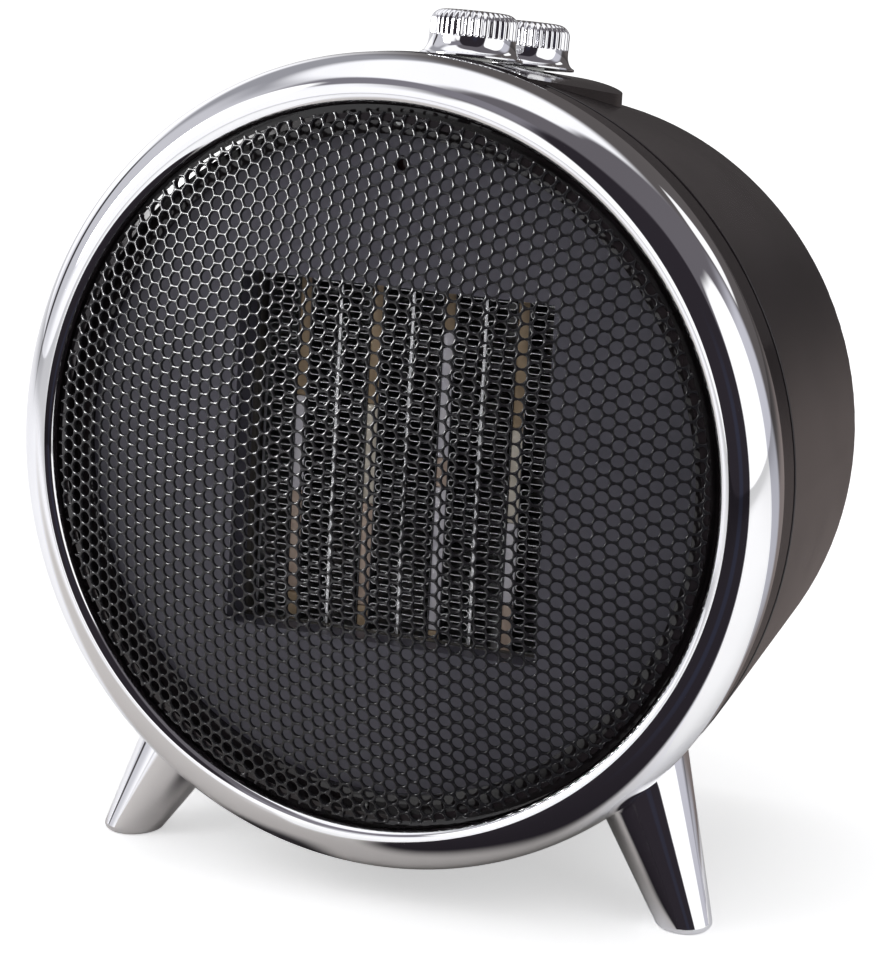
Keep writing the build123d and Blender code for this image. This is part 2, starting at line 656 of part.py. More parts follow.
def heater_fins():
    """One fin on each side of every strip, each reaching to the next divider."""
    fins = []
    for x in STRIP_XS:
        for side in (-1, 1):
            strip_face = x + side * STRIP_WIDTH / 2
            divider_face = x + side * (STRIP_PITCH - DIVIDER_THICKNESS) / 2
            fins.append(heater_fin(strip_face, divider_face))
    return fins


def divider_plate(x):
    half = DIVIDER_THICKNESS / 2
    depth = (HEATER_FRONT_Y, HEATER_FRONT_Y + HEATER_DEPTH)
    return block((x - half, x + half), depth, both(WINDOW_HALF_HEIGHT))


def heater_screws():
    length = DUCT_FLANGE_REAR_Y - FRAME_FRONT_Y + HEATER_SCREW_GRIP
    screw = headed_screw(
        HEATER_SCREW_RADIUS, length, HEATER_SCREW_HEAD_RADIUS, HEATER_SCREW_HEAD_HEIGHT
    )
    places = heater_screw_places()
    return group([Pos(x, DUCT_FLANGE_REAR_Y, z) * Rot(X=-90) * screw for x, z in places])


def thermal_cutout():
    middle_y = (FRAME_FRONT_Y + FRAME_REAR_Y) / 2
    cutout = Pos(0, middle_y, FRAME_HALF_HEIGHT) * Cylinder(CUTOUT_RADIUS, CUTOUT_HEIGHT, align=BOTTOM)
    tab = Box(*CUTOUT_TAB, align=BOTTOM)
    for side in (-1, 1):
        cutout += Pos(side * CUTOUT_RADIUS / 2, middle_y, FRAME_HALF_HEIGHT + CUTOUT_HEIGHT) * tab
    return cutout


# Air duct, fan and motor

def duct_form(margin):
    """A form that runs from the heater's window to the fan's circle, grown by a margin."""
    back = Plane((0, DUCT_FLANGE_REAR_Y, 0), x_dir=(1, 0, 0), z_dir=(0, 1, 0))
    width = 2 * (WINDOW_HALF_WIDTH + margin)
    height = 2 * (WINDOW_HALF_HEIGHT + margin)
    start = back * Rectangle(width, height)
    end = back.offset(DUCT_TAPER) * Circle(DUCT_RADIUS + margin)
    return loft([start.face(), end.face()])


def air_duct():
    flange = block(
        both(DUCT_FLANGE_HALF_WIDTH), (FRAME_REAR_Y, DUCT_FLANGE_REAR_Y), both(DUCT_FLANGE_HALF_HEIGHT)
    )
    flange -= block(
        both(WINDOW_HALF_WIDTH), (FRAME_REAR_Y, DUCT_FLANGE_REAR_Y), both(WINDOW_HALF_HEIGHT)
    )
    for x, z in heater_screw_places():
        flange -= rod(HEATER_SCREW_RADIUS + SCREW_GAP, FRAME_REAR_Y, DUCT_FLANGE_REAR_Y, x, z)
    duct = flange + (duct_form(DUCT_WALL) - duct_form(0))
    duct += ring(DUCT_RADIUS, DUCT_RADIUS + DUCT_WALL, DUCT_RING_Y, DUCT_REAR_Y)
    duct += ring(DUCT_RADIUS, DUCT_REAR_FLANGE_RADIUS, DUCT_REAR_Y - DUCT_FLANGE, DUCT_REAR_Y)
    for x, z in on_circle(MOUNT_SCREW_CIRCLE, MOUNT_ARMS, DIAGONAL):
        duct -= rod(MOUNT_SCREW_RADIUS, DUCT_REAR_Y - DUCT_FLANGE, DUCT_REAR_Y, x, z)
    return duct


def impeller():
    hub = rod(FAN_HUB_RADIUS, FAN_FRONT_Y, FAN_REAR_Y)
    reach = rod(FAN_RADIUS, FAN_FRONT_Y, FAN_REAR_Y)
    inner = FAN_HUB_RADIUS - FAN_BLADE_THICKNESS
    blade = block(
        (inner, FAN_RADIUS + 1), both(FAN_BLADE_CHORD / 2), both(FAN_BLADE_THICKNESS / 2)
    )
    pitched = Pos(0, (FAN_FRONT_Y + FAN_REAR_Y) / 2, 0) * Rot(X=FAN_BLADE_ANGLE) * blade
    turns = [Rot(Y=360.0 * i / FAN_BLADES) for i in range(FAN_BLADES)]
    fan = hub + [turn * (pitched & reach) for turn in turns]
    return fan - rod(MOTOR_SHAFT_RADIUS, FAN_FRONT_Y + FAN_SCREW_HUB_DEPTH, FAN_REAR_Y)


def motor_shaft():
    return rod(MOTOR_SHAFT_RADIUS, FAN_FRONT_Y + FAN_SCREW_HUB_DEPTH, MOTOR_REAR_Y + MOTOR_SHAFT_END)


def motor_rotor():
    return ring(MOTOR_SHAFT_RADIUS, ROTOR_RADIUS, STATOR_FRONT_Y, STATOR_REAR_Y)


def fan_mount():
    span = (DUCT_REAR_Y, MOUNT_REAR_Y)
    mount = ring(DUCT_REAR_FLANGE_RADIUS - MOUNT_RING_WIDTH, DUCT_REAR_FLANGE_RADIUS, *span)
    mount += rod(MOUNT_HUB_RADIUS, *span)
    arm_end = DUCT_REAR_FLANGE_RADIUS - MOUNT_RING_WIDTH / 2
    arm = block((0, arm_end), span, both(MOUNT_ARM_WIDTH / 2))
    for i in range(MOUNT_ARMS):
        mount += Rot(Y=45 + 360.0 * i / MOUNT_ARMS) * arm
    mount -= rod(MOUNT_BORE_RADIUS, *span)
    for side in (-1, 1):
        mount -= rod(MOTOR_SCREW_RADIUS, *span, side * MOTOR_SCREW_X)
    for x, z in on_circle(MOUNT_SCREW_CIRCLE, MOUNT_ARMS, DIAGONAL):
        mount -= rod(MOUNT_SCREW_RADIUS + SCREW_GAP, *span, x, z)
    return mount


def fan_mount_screws():
    length = MOUNT_THICKNESS + DUCT_FLANGE
    screw = headed_screw(
        MOUNT_SCREW_RADIUS, length, MOUNT_SCREW_HEAD_RADIUS, MOUNT_SCREW_HEAD_HEIGHT
    )
    places = on_circle(MOUNT_SCREW_CIRCLE, MOUNT_ARMS, DIAGONAL)
    return group([Pos(x, MOUNT_REAR_Y, z) * Rot(X=-90) * screw for x, z in places])


def motor_bracket(plate_y, post_y):
    """A strap across the motor with a bearing hole and two posts that meet the stator."""
    span = (plate_y, plate_y + BRACKET_THICKNESS)
    bracket = block(both(BRACKET_HALF_LENGTH), span, both(BRACKET_HALF_HEIGHT))
    bracket -= rod(BEARING_RADIUS, *span)
    for side in (-1, 1):
        bracket += rod(BRACKET_POST_RADIUS, post_y, post_y + BRACKET_POST, side * MOTOR_SCREW_X)
        start = min(plate_y, post_y)
        end = start + BRACKET_THICKNESS + BRACKET_POST
        bracket -= rod(MOTOR_SCREW_RADIUS + SCREW_GAP, start, end, side * MOTOR_SCREW_X)
    return bracket


def motor_bearings():
    """A plain bearing in each bracket, flush with its outer face."""
    inner = MOTOR_SHAFT_RADIUS + RUNNING_FIT
    front = ring(inner, BEARING_RADIUS, MOUNT_REAR_Y, MOUNT_REAR_Y + BEARING_LENGTH)
    rear = ring(inner, BEARING_RADIUS, MOTOR_REAR_Y - BEARING_LENGTH, MOTOR_REAR_Y)
    return group([front, rear])


def motor_stator():
    depth = (STATOR_FRONT_Y, STATOR_REAR_Y)
    stator = block(both(STATOR_HALF_WIDTH), depth, (STATOR_BOTTOM, STATOR_TOP))
    window = (STATOR_WINDOW_BOTTOM, STATOR_WINDOW_TOP)
    stator -= block(both(STATOR_WINDOW_HALF_WIDTH), depth, window)
    stator -= rod(ROTOR_RADIUS + ROTOR_GAP, *depth)
    for side in (-1, 1):
        stator -= rod(MOTOR_SCREW_RADIUS + SCREW_GAP, *depth, side * MOTOR_SCREW_X)
    return stator


def motor_coil():
    depth = (STATOR_FRONT_Y, STATOR_REAR_Y)
    around = (STATOR_FRONT_Y - COIL_BUILD, STATOR_REAR_Y + COIL_BUILD)
    height = (STATOR_WINDOW_TOP - COIL_BUILD, STATOR_TOP + COIL_BUILD)
    coil = block(both(COIL_HALF_WIDTH), around, height)
    coil = fillet(coil.edges().filter_by(Axis.X), COIL_BUILD / 2)
    return coil - block(both(COIL_HALF_WIDTH), depth, (STATOR_WINDOW_TOP, STATOR_TOP))


def motor_screws():
    length = MOTOR_REAR_Y - DUCT_REAR_Y
    screw = headed_screw(
        MOTOR_SCREW_RADIUS, length, MOTOR_SCREW_HEAD_RADIUS, MOTOR_SCREW_HEAD_HEIGHT
    )
    places = [side * MOTOR_SCREW_X for side in (-1, 1)]
    return group([Pos(x, MOTOR_REAR_Y, 0) * Rot(X=-90) * screw for x in places])


# Body shell, rear cover and what is fixed to them

def hollow_drum():
    """The barrel's wall with its ledge for the rear cover and its rounded rear edge."""
    opening = COVER_RADIUS + FIT
    corners = [
        (SHELL_FRONT_RADIUS, SHELL_FRONT_Y),
        (SHELL_REAR_RADIUS, SHELL_REAR_Y),
        (opening, SHELL_REAR_Y),
        (opening, COVER_FRONT_Y),
        (COVER_RADIUS - LEDGE_WIDTH, COVER_FRONT_Y),
        (COVER_RADIUS - LEDGE_WIDTH, LEDGE_FRONT_Y),
        (shell_radius(LEDGE_FRONT_Y) - SHELL_WALL, LEDGE_FRONT_Y),
        (SHELL_FRONT_RADIUS - SHELL_WALL, SHELL_FRONT_Y),
    ]
    drum = turned(Polyline(*corners, close=True))
    drum = fillet(outer_rim(drum, SHELL_FRONT_Y), SHELL_FRONT_ROUNDING)
    return fillet(outer_rim(drum, SHELL_REAR_Y), SHELL_REAR_ROUNDING)


def block_span_z():
    """Bottom and top of the terminal block."""
    return (BLOCK_TOP_Z - BLOCK_HEIGHT, BLOCK_TOP_Z)


def tilt_case_bottom():
    """Height of the tip-over switch's underside, upright in the room."""
    return TILT_PIVOT_Z - TILT_DEPTH - TILT_WALL


def body_shell():
    behind_frame = envelope() - rod(BEZEL_RADIUS, BEZEL_REAR_Y, SPIGOT_REAR_Y)
    drum = hollow_drum()
    block_base = block_span_z()[0]
    block_depth = (BLOCK_FRONT_Y, BLOCK_FRONT_Y + BLOCK_DEPTH)
    pads = [block(both(BLOCK_HALF_WIDTH / 2), block_depth, (-SHELL_FRONT_RADIUS, block_base))]
    tilt_depth = (TILT_Y - TILT_PAD_HALF_DEPTH, TILT_Y + TILT_PAD_HALF_DEPTH)
    tilt_height = (-AXIS_HEIGHT, tilt_case_bottom())
    pads.append(plumb(block(both(TILT_PAD_HALF_WIDTH), tilt_depth, tilt_height)))
    for x, z in frame_screw_places():
        pads.append(rod(SHELL_BOSS_RADIUS, SPIGOT_REAR_Y, SPIGOT_REAR_Y + SHELL_BOSS_LENGTH, x, z))
    for leg in legs():
        pads.append(leg.along(LEG_PAD_RADIUS, -LEG_PAD_RADIUS, LEG_PAD_DEPTH))
    drum += [pad & behind_frame for pad in pads]
    cover_places = on_circle(COVER_SCREW_CIRCLE, 4, DIAGONAL)
    boss_span = (LEDGE_FRONT_Y - COVER_BOSS_LENGTH, LEDGE_FRONT_Y)
    drum += [rod(COVER_BOSS_RADIUS, *boss_span, *place) for place in cover_places]
    grip = COVER_REAR_Y - COVER_SCREW_LENGTH
    holes = [rod(COVER_SCREW_RADIUS, grip, COVER_FRONT_Y, *place) for place in cover_places]
    screw_end = SHELL_FRONT_Y + FRAME_SCREW_LENGTH
    for place in frame_screw_places():
        holes.append(rod(FRAME_SCREW_RADIUS, SPIGOT_REAR_Y, screw_end, *place))
    for leg in legs():
        holes.append(leg.along(LEG_SCREW_RADIUS + SCREW_GAP, -LEG_PAD_RADIUS, LEG_PAD_DEPTH))
    for y in (MODE_KNOB_Y, THERMOSTAT_Y):
        pad_hole = Cylinder(PAD_RADIUS + PAD_GAP, KNOB_CUT)
        holes.append(knob_place(y) * pad_hole)
    return drum - holes


def rear_cover():
    span = (COVER_FRONT_Y, COVER_REAR_Y)
    cover = rod(COVER_RADIUS, *span)
    cover = fillet(outer_rim(cover, COVER_REAR_Y), COVER_ROUNDING)
    middle = Plane((0, COVER_FRONT_Y, 0), x_dir=(1, 0, 0), z_dir=(0, 1, 0))
    columns = int((INTAKE_RADIUS - INTAKE_SLOT_WIDTH) / INTAKE_PITCH)
    slots = []
    for column in range(-columns, columns + 1):
        x = column * INTAKE_PITCH
        height = 2 * math.sqrt(INTAKE_RADIUS**2 - x**2)
        length = (height - (INTAKE_ROWS - 1) * INTAKE_RIB) / INTAKE_ROWS
        for row in range(INTAKE_ROWS):
            z = (row - (INTAKE_ROWS - 1) / 2) * (length + INTAKE_RIB)
            slots.append(Pos(x, z) * SlotOverall(length, INTAKE_SLOT_WIDTH, rotation=90))
    cover -= extrude(middle * Sketch(children=slots), amount=COVER_THICKNESS)
    for x, z in on_circle(COVER_SCREW_CIRCLE, 4, DIAGONAL):
        cover -= rod(COVER_SCREW_RADIUS + SCREW_GAP, *span, x, z)
    return cover - rod(GLAND_NECK_RADIUS, *span, 0, GLAND_Z)


def cover_screws():
    screw = headed_screw(
        COVER_SCREW_RADIUS, COVER_SCREW_LENGTH, COVER_SCREW_HEAD_RADIUS, COVER_SCREW_HEAD_HEIGHT
    )
    places = on_circle(COVER_SCREW_CIRCLE, 4, DIAGONAL)
    return group([Pos(x, COVER_REAR_Y, z) * Rot(X=-90) * screw for x, z in places])


def cord_gland():
    front = COVER_FRONT_Y - GLAND_FLANGE
    rear = COVER_REAR_Y + GLAND_FLANGE
    gland = rod(GLAND_NECK_RADIUS, front, rear, 0, GLAND_Z)
    gland += rod(GLAND_FLANGE_RADIUS, front, COVER_FRONT_Y, 0, GLAND_Z)
    gland += rod(GLAND_FLANGE_RADIUS, COVER_REAR_Y, rear, 0, GLAND_Z)
    return gland - rod(GLAND_BORE, front, rear, 0, GLAND_Z)


def terminal_block():
    depth = (BLOCK_FRONT_Y, BLOCK_FRONT_Y + BLOCK_DEPTH)
    body = block(both(BLOCK_HALF_WIDTH), depth, block_span_z())
    middle = (block_span_z()[0] + block_span_z()[1]) / 2
    for i in range(BLOCK_POLES):
        x = (i - (BLOCK_POLES - 1) / 2) * BLOCK_POLE_PITCH
        body -= rod(BLOCK_POLE_RADIUS, *depth, x, middle)
    return body


# Legs

class Leg:
    """One leg's axis, from where it meets the floor up into the drum's wall."""

    def __init__(self, foot_x, foot_y, rise_x, rise_y):
        self.foot = Vector(foot_x, foot_y, -AXIS_HEIGHT)
        self.rise = Vector(rise_x, rise_y, 1).normalized()

    def length(self):
        """Distance along the axis from the floor to the drum's outer surface."""
        foot = self.foot.rotate(Axis.X, LEAN)
        rise = self.rise.rotate(Axis.X, LEAN)
        radius = shell_radius(foot.Y)
        a = rise.X**2 + rise.Z**2 - (SHELL_SLOPE * rise.Y) ** 2
        b = foot.X * rise.X + foot.Z * rise.Z + SHELL_SLOPE * rise.Y * radius
        c = foot.X**2 + foot.Z**2 - radius**2
        return (-b - math.sqrt(b**2 - a * c)) / a

    def along(self, radius, start, end):
        """A cylinder on the axis between two distances from the drum's surface."""
        origin = self.foot + self.rise * (self.length() + start)
        upright = Plane(origin, z_dir=self.rise).location
        return plumb(upright * Cylinder(radius, end - start, align=BOTTOM))

    def piece(self):
        """The tapered leg, flat on the floor and cut to the drum."""
        start = -LEG_FOOT_RADIUS
        end = self.length() + LEG_OVERRUN
        lower = LEG_FOOT_RADIUS + LEG_FLARE * start
        upper = LEG_FOOT_RADIUS + LEG_FLARE * end
        origin = self.foot + self.rise * start
        cone = Plane(origin, z_dir=self.rise).location * Cone(lower, upper, end - start, align=BOTTOM)
        wide = 2 * LEG_FOOT_RADIUS
        x, y, floor = self.foot
        below = block((x - wide, x + wide), (y - wide, y + wide), (floor - wide, floor))
        foot = cone - below
        foot = fillet(foot.edges().group_by(Axis.Z)[0], LEG_EDGE)
        screw_tip = LEG_PAD_DEPTH - LEG_SCREW_LENGTH
        bore = self.along(LEG_SCREW_RADIUS + THREAD_GAP, screw_tip, LEG_PAD_DEPTH)
        return plumb(foot) - envelope() - bore

    def screw(self):
        """The screw that pulls the leg against the drum from inside."""
        origin = self.foot + self.rise * (self.length() + LEG_PAD_DEPTH)
        screw = headed_screw(
            LEG_SCREW_RADIUS, LEG_SCREW_LENGTH, LEG_SCREW_HEAD_RADIUS, LEG_SCREW_HEAD_HEIGHT
        )
        return plumb(Plane(origin, z_dir=self.rise).location * screw)


def legs():
    """The four legs: front left, front right, rear left, rear right."""
    pairs = [
        (LEG_FOOT_X, LEG_FRONT_FOOT_Y, LEG_SIDE_SPLAY, LEG_SPLAY),
        (LEG_REAR_FOOT_X, LEG_REAR_FOOT_Y, LEG_REAR_SIDE_SPLAY, -LEG_SPLAY),
    ]
    made = []
    for foot_x, foot_y, splay, rise_y in pairs:
        for side in (-1, 1):
            made.append(Leg(side * foot_x, foot_y, -side * splay, rise_y))
    return made


# Control panel, knobs and switches

def knob_place(y):
    """Where a knob's axis meets the panel, with Z along the axis."""
    return Plane((0, y, panel_radius(y)), x_dir=(1, 0, 0), z_dir=(0, PANEL_SLOPE, 1)).location


def control_panel():
    front = BEZEL_REAR_Y + SEAM
    tip = PANEL_STRAIGHT_END_Y + PANEL_HALF_WIDTH
    straight = PANEL_STRAIGHT_END_Y - front
    outline = Pos(0, front + straight / 2) * Rectangle(2 * PANEL_HALF_WIDTH, straight)
    outline += Pos(0, PANEL_STRAIGHT_END_Y) * Circle(PANEL_HALF_WIDTH)
    corners = [(0, front), (panel_radius(front), front), (panel_radius(tip), tip), (0, tip)]
    top = turned(Polyline(*corners, close=True))
    panel = (extrude(outline, amount=2 * BEZEL_RADIUS) & top) - envelope()
    for y in (MODE_KNOB_Y, THERMOSTAT_Y):
        place = knob_place(y)
        panel += place * Pos(0, 0, -PAD_DEPTH) * Cylinder(PAD_RADIUS, PAD_HEIGHT, align=BOTTOM)
        panel -= place * Pos(0, 0, -SPOT_DEPTH) * Cylinder(SPOT_RADIUS, PAD_DEPTH, align=BOTTOM)
        panel -= place * Cylinder(BUSHING_RADIUS + FIT, KNOB_CUT)
    return panel


def control_shaft():
    """A shaft along Z with a flat where the knob grips it."""
    shaft = Pos(0, 0, -SHAFT_DEPTH) * Cylinder(SHAFT_RADIUS, SHAFT_DEPTH + SHAFT_TOP, align=BOTTOM)
    flat = block((SHAFT_FLAT_OFFSET, SHAFT_RADIUS), both(SHAFT_RADIUS), (SHAFT_FLAT_START, SHAFT_TOP))
    return shaft - flat


def knob():
    """A fluted knob with a flared skirt, hollow below and gripping the shaft's flat."""
    corners_low = [(0, KNOB_LIFT), (KNOB_SKIRT_RADIUS, KNOB_LIFT)]
    skirt_edge = (KNOB_SKIRT_RADIUS, KNOB_LIFT + KNOB_SKIRT_EDGE)
    skirt_top = (KNOB_RADIUS, KNOB_SKIRT_TOP)
    crown_start = (KNOB_RADIUS, KNOB_CROWN_START)
    crown_end = (KNOB_CROWN_RADIUS, KNOB_HEIGHT)
    outline = Polyline(*corners_low, skirt_edge)
    outline += TangentArc(skirt_top, skirt_edge, tangent=(0, -1))
    outline += Line(skirt_top, crown_start)
    outline += TangentArc(crown_start, crown_end, tangent=(0, 1))
    outline += Polyline(crown_end, (0, KNOB_HEIGHT), corners_low[0])
    body = turned_up(outline)
    flute = Pos(0, 0, FLUTE_START) * Cylinder(FLUTE_RADIUS, KNOB_HEIGHT, align=BOTTOM)
    flute_circle = KNOB_RADIUS + FLUTE_RADIUS - FLUTE_DEPTH
    body -= [place * flute for place in PolarLocations(flute_circle, KNOB_FLUTES)]
    body -= Cylinder(KNOB_CAVITY_RADIUS, KNOB_CAVITY_TOP, align=BOTTOM)
    return body - control_shaft()


def control_switch():
    """The body below the panel, with its bushing and three tabs."""
    body = Pos(0, 0, -PAD_DEPTH - SWITCH_HEIGHT) * Box(
        SWITCH_WIDTH, SWITCH_WIDTH, SWITCH_HEIGHT, align=BOTTOM
    )
    body += Pos(0, 0, -PAD_DEPTH) * Cylinder(BUSHING_RADIUS, PAD_DEPTH + BUSHING_TOP, align=BOTTOM)
    tab_top = -PAD_DEPTH - SWITCH_HEIGHT
    for step in (-1, 0, 1):
        body += Pos(0, step * SWITCH_TAB_SPREAD, tab_top - SWITCH_TAB[2]) * Box(*SWITCH_TAB, align=BOTTOM)
    bore_depth = SHAFT_DEPTH + PAD_GAP
    bore = Cylinder(SHAFT_RADIUS + RUNNING_FIT, bore_depth + BUSHING_TOP, align=BOTTOM)
    return body - Pos(0, 0, -bore_depth) * bore


def control_nuts():
    blank = extrude(RegularPolygon(NUT_RADIUS, 6), amount=NUT_HEIGHT)
    nut = Pos(0, 0, -SPOT_DEPTH) * blank - Cylinder(BUSHING_RADIUS, KNOB_CUT)
    return group([knob_place(y) * nut for y in (MODE_KNOB_Y, THERMOSTAT_Y)])


# Tip-over switch

def tilt_switch_case():
    width = both(TILT_HALF_WIDTH)
    depth = (TILT_Y - TILT_HALF_DEPTH, TILT_Y + TILT_HALF_DEPTH)
    height = (tilt_case_bottom(), TILT_PIVOT_Z + TILT_HEADROOM + TILT_WALL)
    case = block(width, depth, height)
    inner_width = both(TILT_HALF_WIDTH - TILT_WALL)
    inner_depth = (depth[0] + TILT_WALL, depth[1] - TILT_WALL)
    inner_height = (height[0] + TILT_WALL, height[1] - TILT_WALL)
    case -= block(inner_width, inner_depth, inner_height)
    pin = Rot(Y=90) * Cylinder(TILT_PIN_RADIUS, 2 * TILT_HALF_WIDTH)
    return plumb(case + Pos(0, TILT_Y, TILT_PIVOT_Z) * pin)


def tilt_pendulum():
    length = 2 * (TILT_HALF_WIDTH - TILT_WALL - TILT_SIDE_GAP)
    pendulum = Rot(Y=90) * Cylinder(TILT_EYE_RADIUS, length)
    arm_half = TILT_ARM_WIDTH / 2
    pendulum += block(both(arm_half), both(arm_half), (-TILT_ARM, 0))
    pendulum += Pos(0, 0, -TILT_ARM) * Rot(Y=90) * Cylinder(TILT_BOB_RADIUS, TILT_BOB_LENGTH)
    pendulum -= Rot(Y=90) * Cylinder(TILT_PIN_RADIUS + RUNNING_FIT, length)
    return plumb(Pos(0, TILT_Y, TILT_PIVOT_Z) * pendulum)


# All the pieces by name

def pieces():
    made = {
        "front_bezel": front_bezel(),
        "bezel_screw": bezel_screw(),
        "front_grille": front_grille(),
        "front_frame": front_frame(),
        "frame_screws": frame_screws(),
        "baffle_plate": baffle_plate(),
        "baffle_screws": baffle_screws(),
        "pilot_lamp": pilot_lamp(),
        "heater_frame": heater_frame(),
        "heater_screws": heater_screws(),
        "thermal_cutout": thermal_cutout(),
        "air_duct": air_duct(),
        "impeller": impeller(),
        "motor_shaft": motor_shaft(),
        "motor_rotor": motor_rotor(),
        "motor_stator": motor_stator(),
        "motor_coil": motor_coil(),
        "motor_bracket_front": motor_bracket(MOUNT_REAR_Y, MOUNT_REAR_Y + BRACKET_THICKNESS),
        "motor_bracket_rear": motor_bracket(STATOR_REAR_Y + BRACKET_POST, STATOR_REAR_Y),
        "motor_bearings": motor_bearings(),
        "motor_screws": motor_screws(),
        "fan_mount": fan_mount(),
        "fan_mount_screws": fan_mount_screws(),
        "body_shell": body_shell(),
        "rear_cover": rear_cover(),
        "cover_screws": cover_screws(),
        "cord_gland": cord_gland(),
        "terminal_block": terminal_block(),
        "control_panel": control_panel(),
        "control_nuts": control_nuts(),
        "leg_screws": group([leg.screw() for leg in legs()]),
        "tilt_switch_case": tilt_switch_case(),
        "tilt_pendulum": tilt_pendulum(),
    }
    made.update({f"ceramic_strip_{i + 1}": strip_block(x) for i, x in enumerate(STRIP_XS)})
    made.update({f"heater_fin_{i + 1}": fin for i, fin in enumerate(heater_fins())})
    made.update({f"divider_plate_{i + 1}": divider_plate(x) for i, x in enumerate(DIVIDER_XS)})
    leg_names = ["leg_front_left", "leg_front_right", "leg_rear_left", "leg_rear_right"]
    made.update({name: leg.piece() for name, leg in zip(leg_names, legs())})
    controls = [("mode", MODE_KNOB_Y, "mode_switch"), ("thermostat", THERMOSTAT_Y, "thermostat")]
    for name, y, switch in controls:
        made[f"{name}_knob"] = knob_place(y) * knob()
        made[f"{name}_shaft"] = knob_place(y) * control_shaft()
        made[switch] = knob_place(y) * control_switch()
    return made


def stand_on_floor(made):
    """Leans every piece back and puts the origin below the middle of the whole."""
    leaned = {name: Rot(X=-LEAN) * piece for name, piece in made.items()}
    boxes = [piece.bounding_box() for piece in leaned.values()]
    middle_x = (min(b.min.X for b in boxes) + max(b.max.X for b in boxes)) / 2
    middle_y = (min(b.min.Y for b in boxes) + max(b.max.Y for b in boxes)) / 2
    shift = Pos(-middle_x, -middle_y, AXIS_HEIGHT)
    print("drum origin moved by", round(-middle_x, 3), round(-middle_y, 3), AXIS_HEIGHT)
    return {name: shift * piece for name, piece in leaned.items()}


os.makedirs("parts", exist_ok=True)
for node, shape in stand_on_floor(pieces()).items():
    export_step(shape, f"parts/{node}.step", write_pcurves=False)
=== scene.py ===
# %% [markdown]
# # Dressing a ceramic fan heater
# The heater is a leaning drum on four chrome legs, with a perforated front and two knobs.
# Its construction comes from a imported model, which holds every piece at its real size.
# This lesson adds the looks: finer meshes for the pieces that catch the eye, and a
# finish for every piece, seen or hidden.
# Everything is in metres, so millimetres are multiplied by MM.

import json
import math

import bmesh
import bpy
from mathutils import Matrix, Vector

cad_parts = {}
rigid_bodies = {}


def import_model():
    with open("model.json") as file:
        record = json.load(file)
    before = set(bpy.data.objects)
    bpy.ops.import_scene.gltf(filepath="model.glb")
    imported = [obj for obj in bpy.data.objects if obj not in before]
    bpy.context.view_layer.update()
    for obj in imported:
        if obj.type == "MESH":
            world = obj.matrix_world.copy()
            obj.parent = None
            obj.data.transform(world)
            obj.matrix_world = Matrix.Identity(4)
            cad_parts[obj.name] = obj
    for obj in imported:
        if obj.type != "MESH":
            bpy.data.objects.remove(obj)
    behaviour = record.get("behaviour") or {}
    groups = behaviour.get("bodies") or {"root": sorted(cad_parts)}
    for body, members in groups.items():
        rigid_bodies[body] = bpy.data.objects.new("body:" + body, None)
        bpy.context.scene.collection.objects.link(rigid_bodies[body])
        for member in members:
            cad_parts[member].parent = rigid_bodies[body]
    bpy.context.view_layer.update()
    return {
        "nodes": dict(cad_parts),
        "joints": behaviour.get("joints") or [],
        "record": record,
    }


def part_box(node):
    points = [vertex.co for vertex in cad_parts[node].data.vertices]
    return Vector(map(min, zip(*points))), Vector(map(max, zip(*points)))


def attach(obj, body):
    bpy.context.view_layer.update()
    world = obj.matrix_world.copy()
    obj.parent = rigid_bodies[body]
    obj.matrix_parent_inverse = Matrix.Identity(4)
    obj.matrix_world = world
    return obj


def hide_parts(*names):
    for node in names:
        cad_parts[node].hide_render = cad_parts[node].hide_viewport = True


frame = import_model()
MM = 0.001
print("pieces in the construction:", len(frame["nodes"]))

# %% [markdown]
# ## The drum's own frame
# The drum leans back, so drawing on it directly would mean awkward numbers.
# Each piece is drawn upright in a frame of the drum's own: Y runs back along the drum's
# axis from the front edge of the ring, and Z is up. A single matrix then tips it into
# place. The fan's joint gives both the axis and a point on it.

# %% Find the drum's frame
FAN_STATION = 90 * MM

fan_joint = next(joint for joint in frame["joints"] if joint["name"] == "fan_spin")
drum_axis = Vector(fan_joint["axis"])
drum_front = Vector(fan_joint["pos_m"]) - FAN_STATION * drum_axis
lean = math.atan2(-drum_axis.z, drum_axis.y)
drum_place = Matrix.Translation(drum_front) @ Matrix.Rotation(-lean, 4, "X")
print("the drum leans back by", round(math.degrees(lean), 2), "degrees")

# %% [markdown]
# ## The camera
# The picture was taken from the right, a little above, with a long lens: the ring is
# hardly smaller at the back than at the front. A long lens far away gives that look.

# %% Place the camera
CAMERA_PLACE = Vector((0.5169, -1.1446, 0.5084))
CAMERA_LOOK = Vector((-0.3984, 0.8682, -0.2957))
LENS = 151.5

bpy.ops.object.camera_add(location=CAMERA_PLACE)
camera = bpy.context.object
camera.rotation_euler = CAMERA_LOOK.to_track_quat("-Z", "Y").to_euler()
camera.data.lens = LENS
bpy.context.scene.camera = camera
print("camera to heater:", round(CAMERA_PLACE.length, 2), "m")

# %% [markdown]
# ## The studio
# Chrome has no colour of its own: it shows the room. A photographer shapes that room
# with white panels, which make bright bands, and black ones, which make the dark
# bands between them. Here the panels are painted on the sky as seen in reflections.
# A shader group turns a direction into azimuth and elevation and lays soft-edged
# panels over a pale room. The floor uses the same group, so that the two agree.

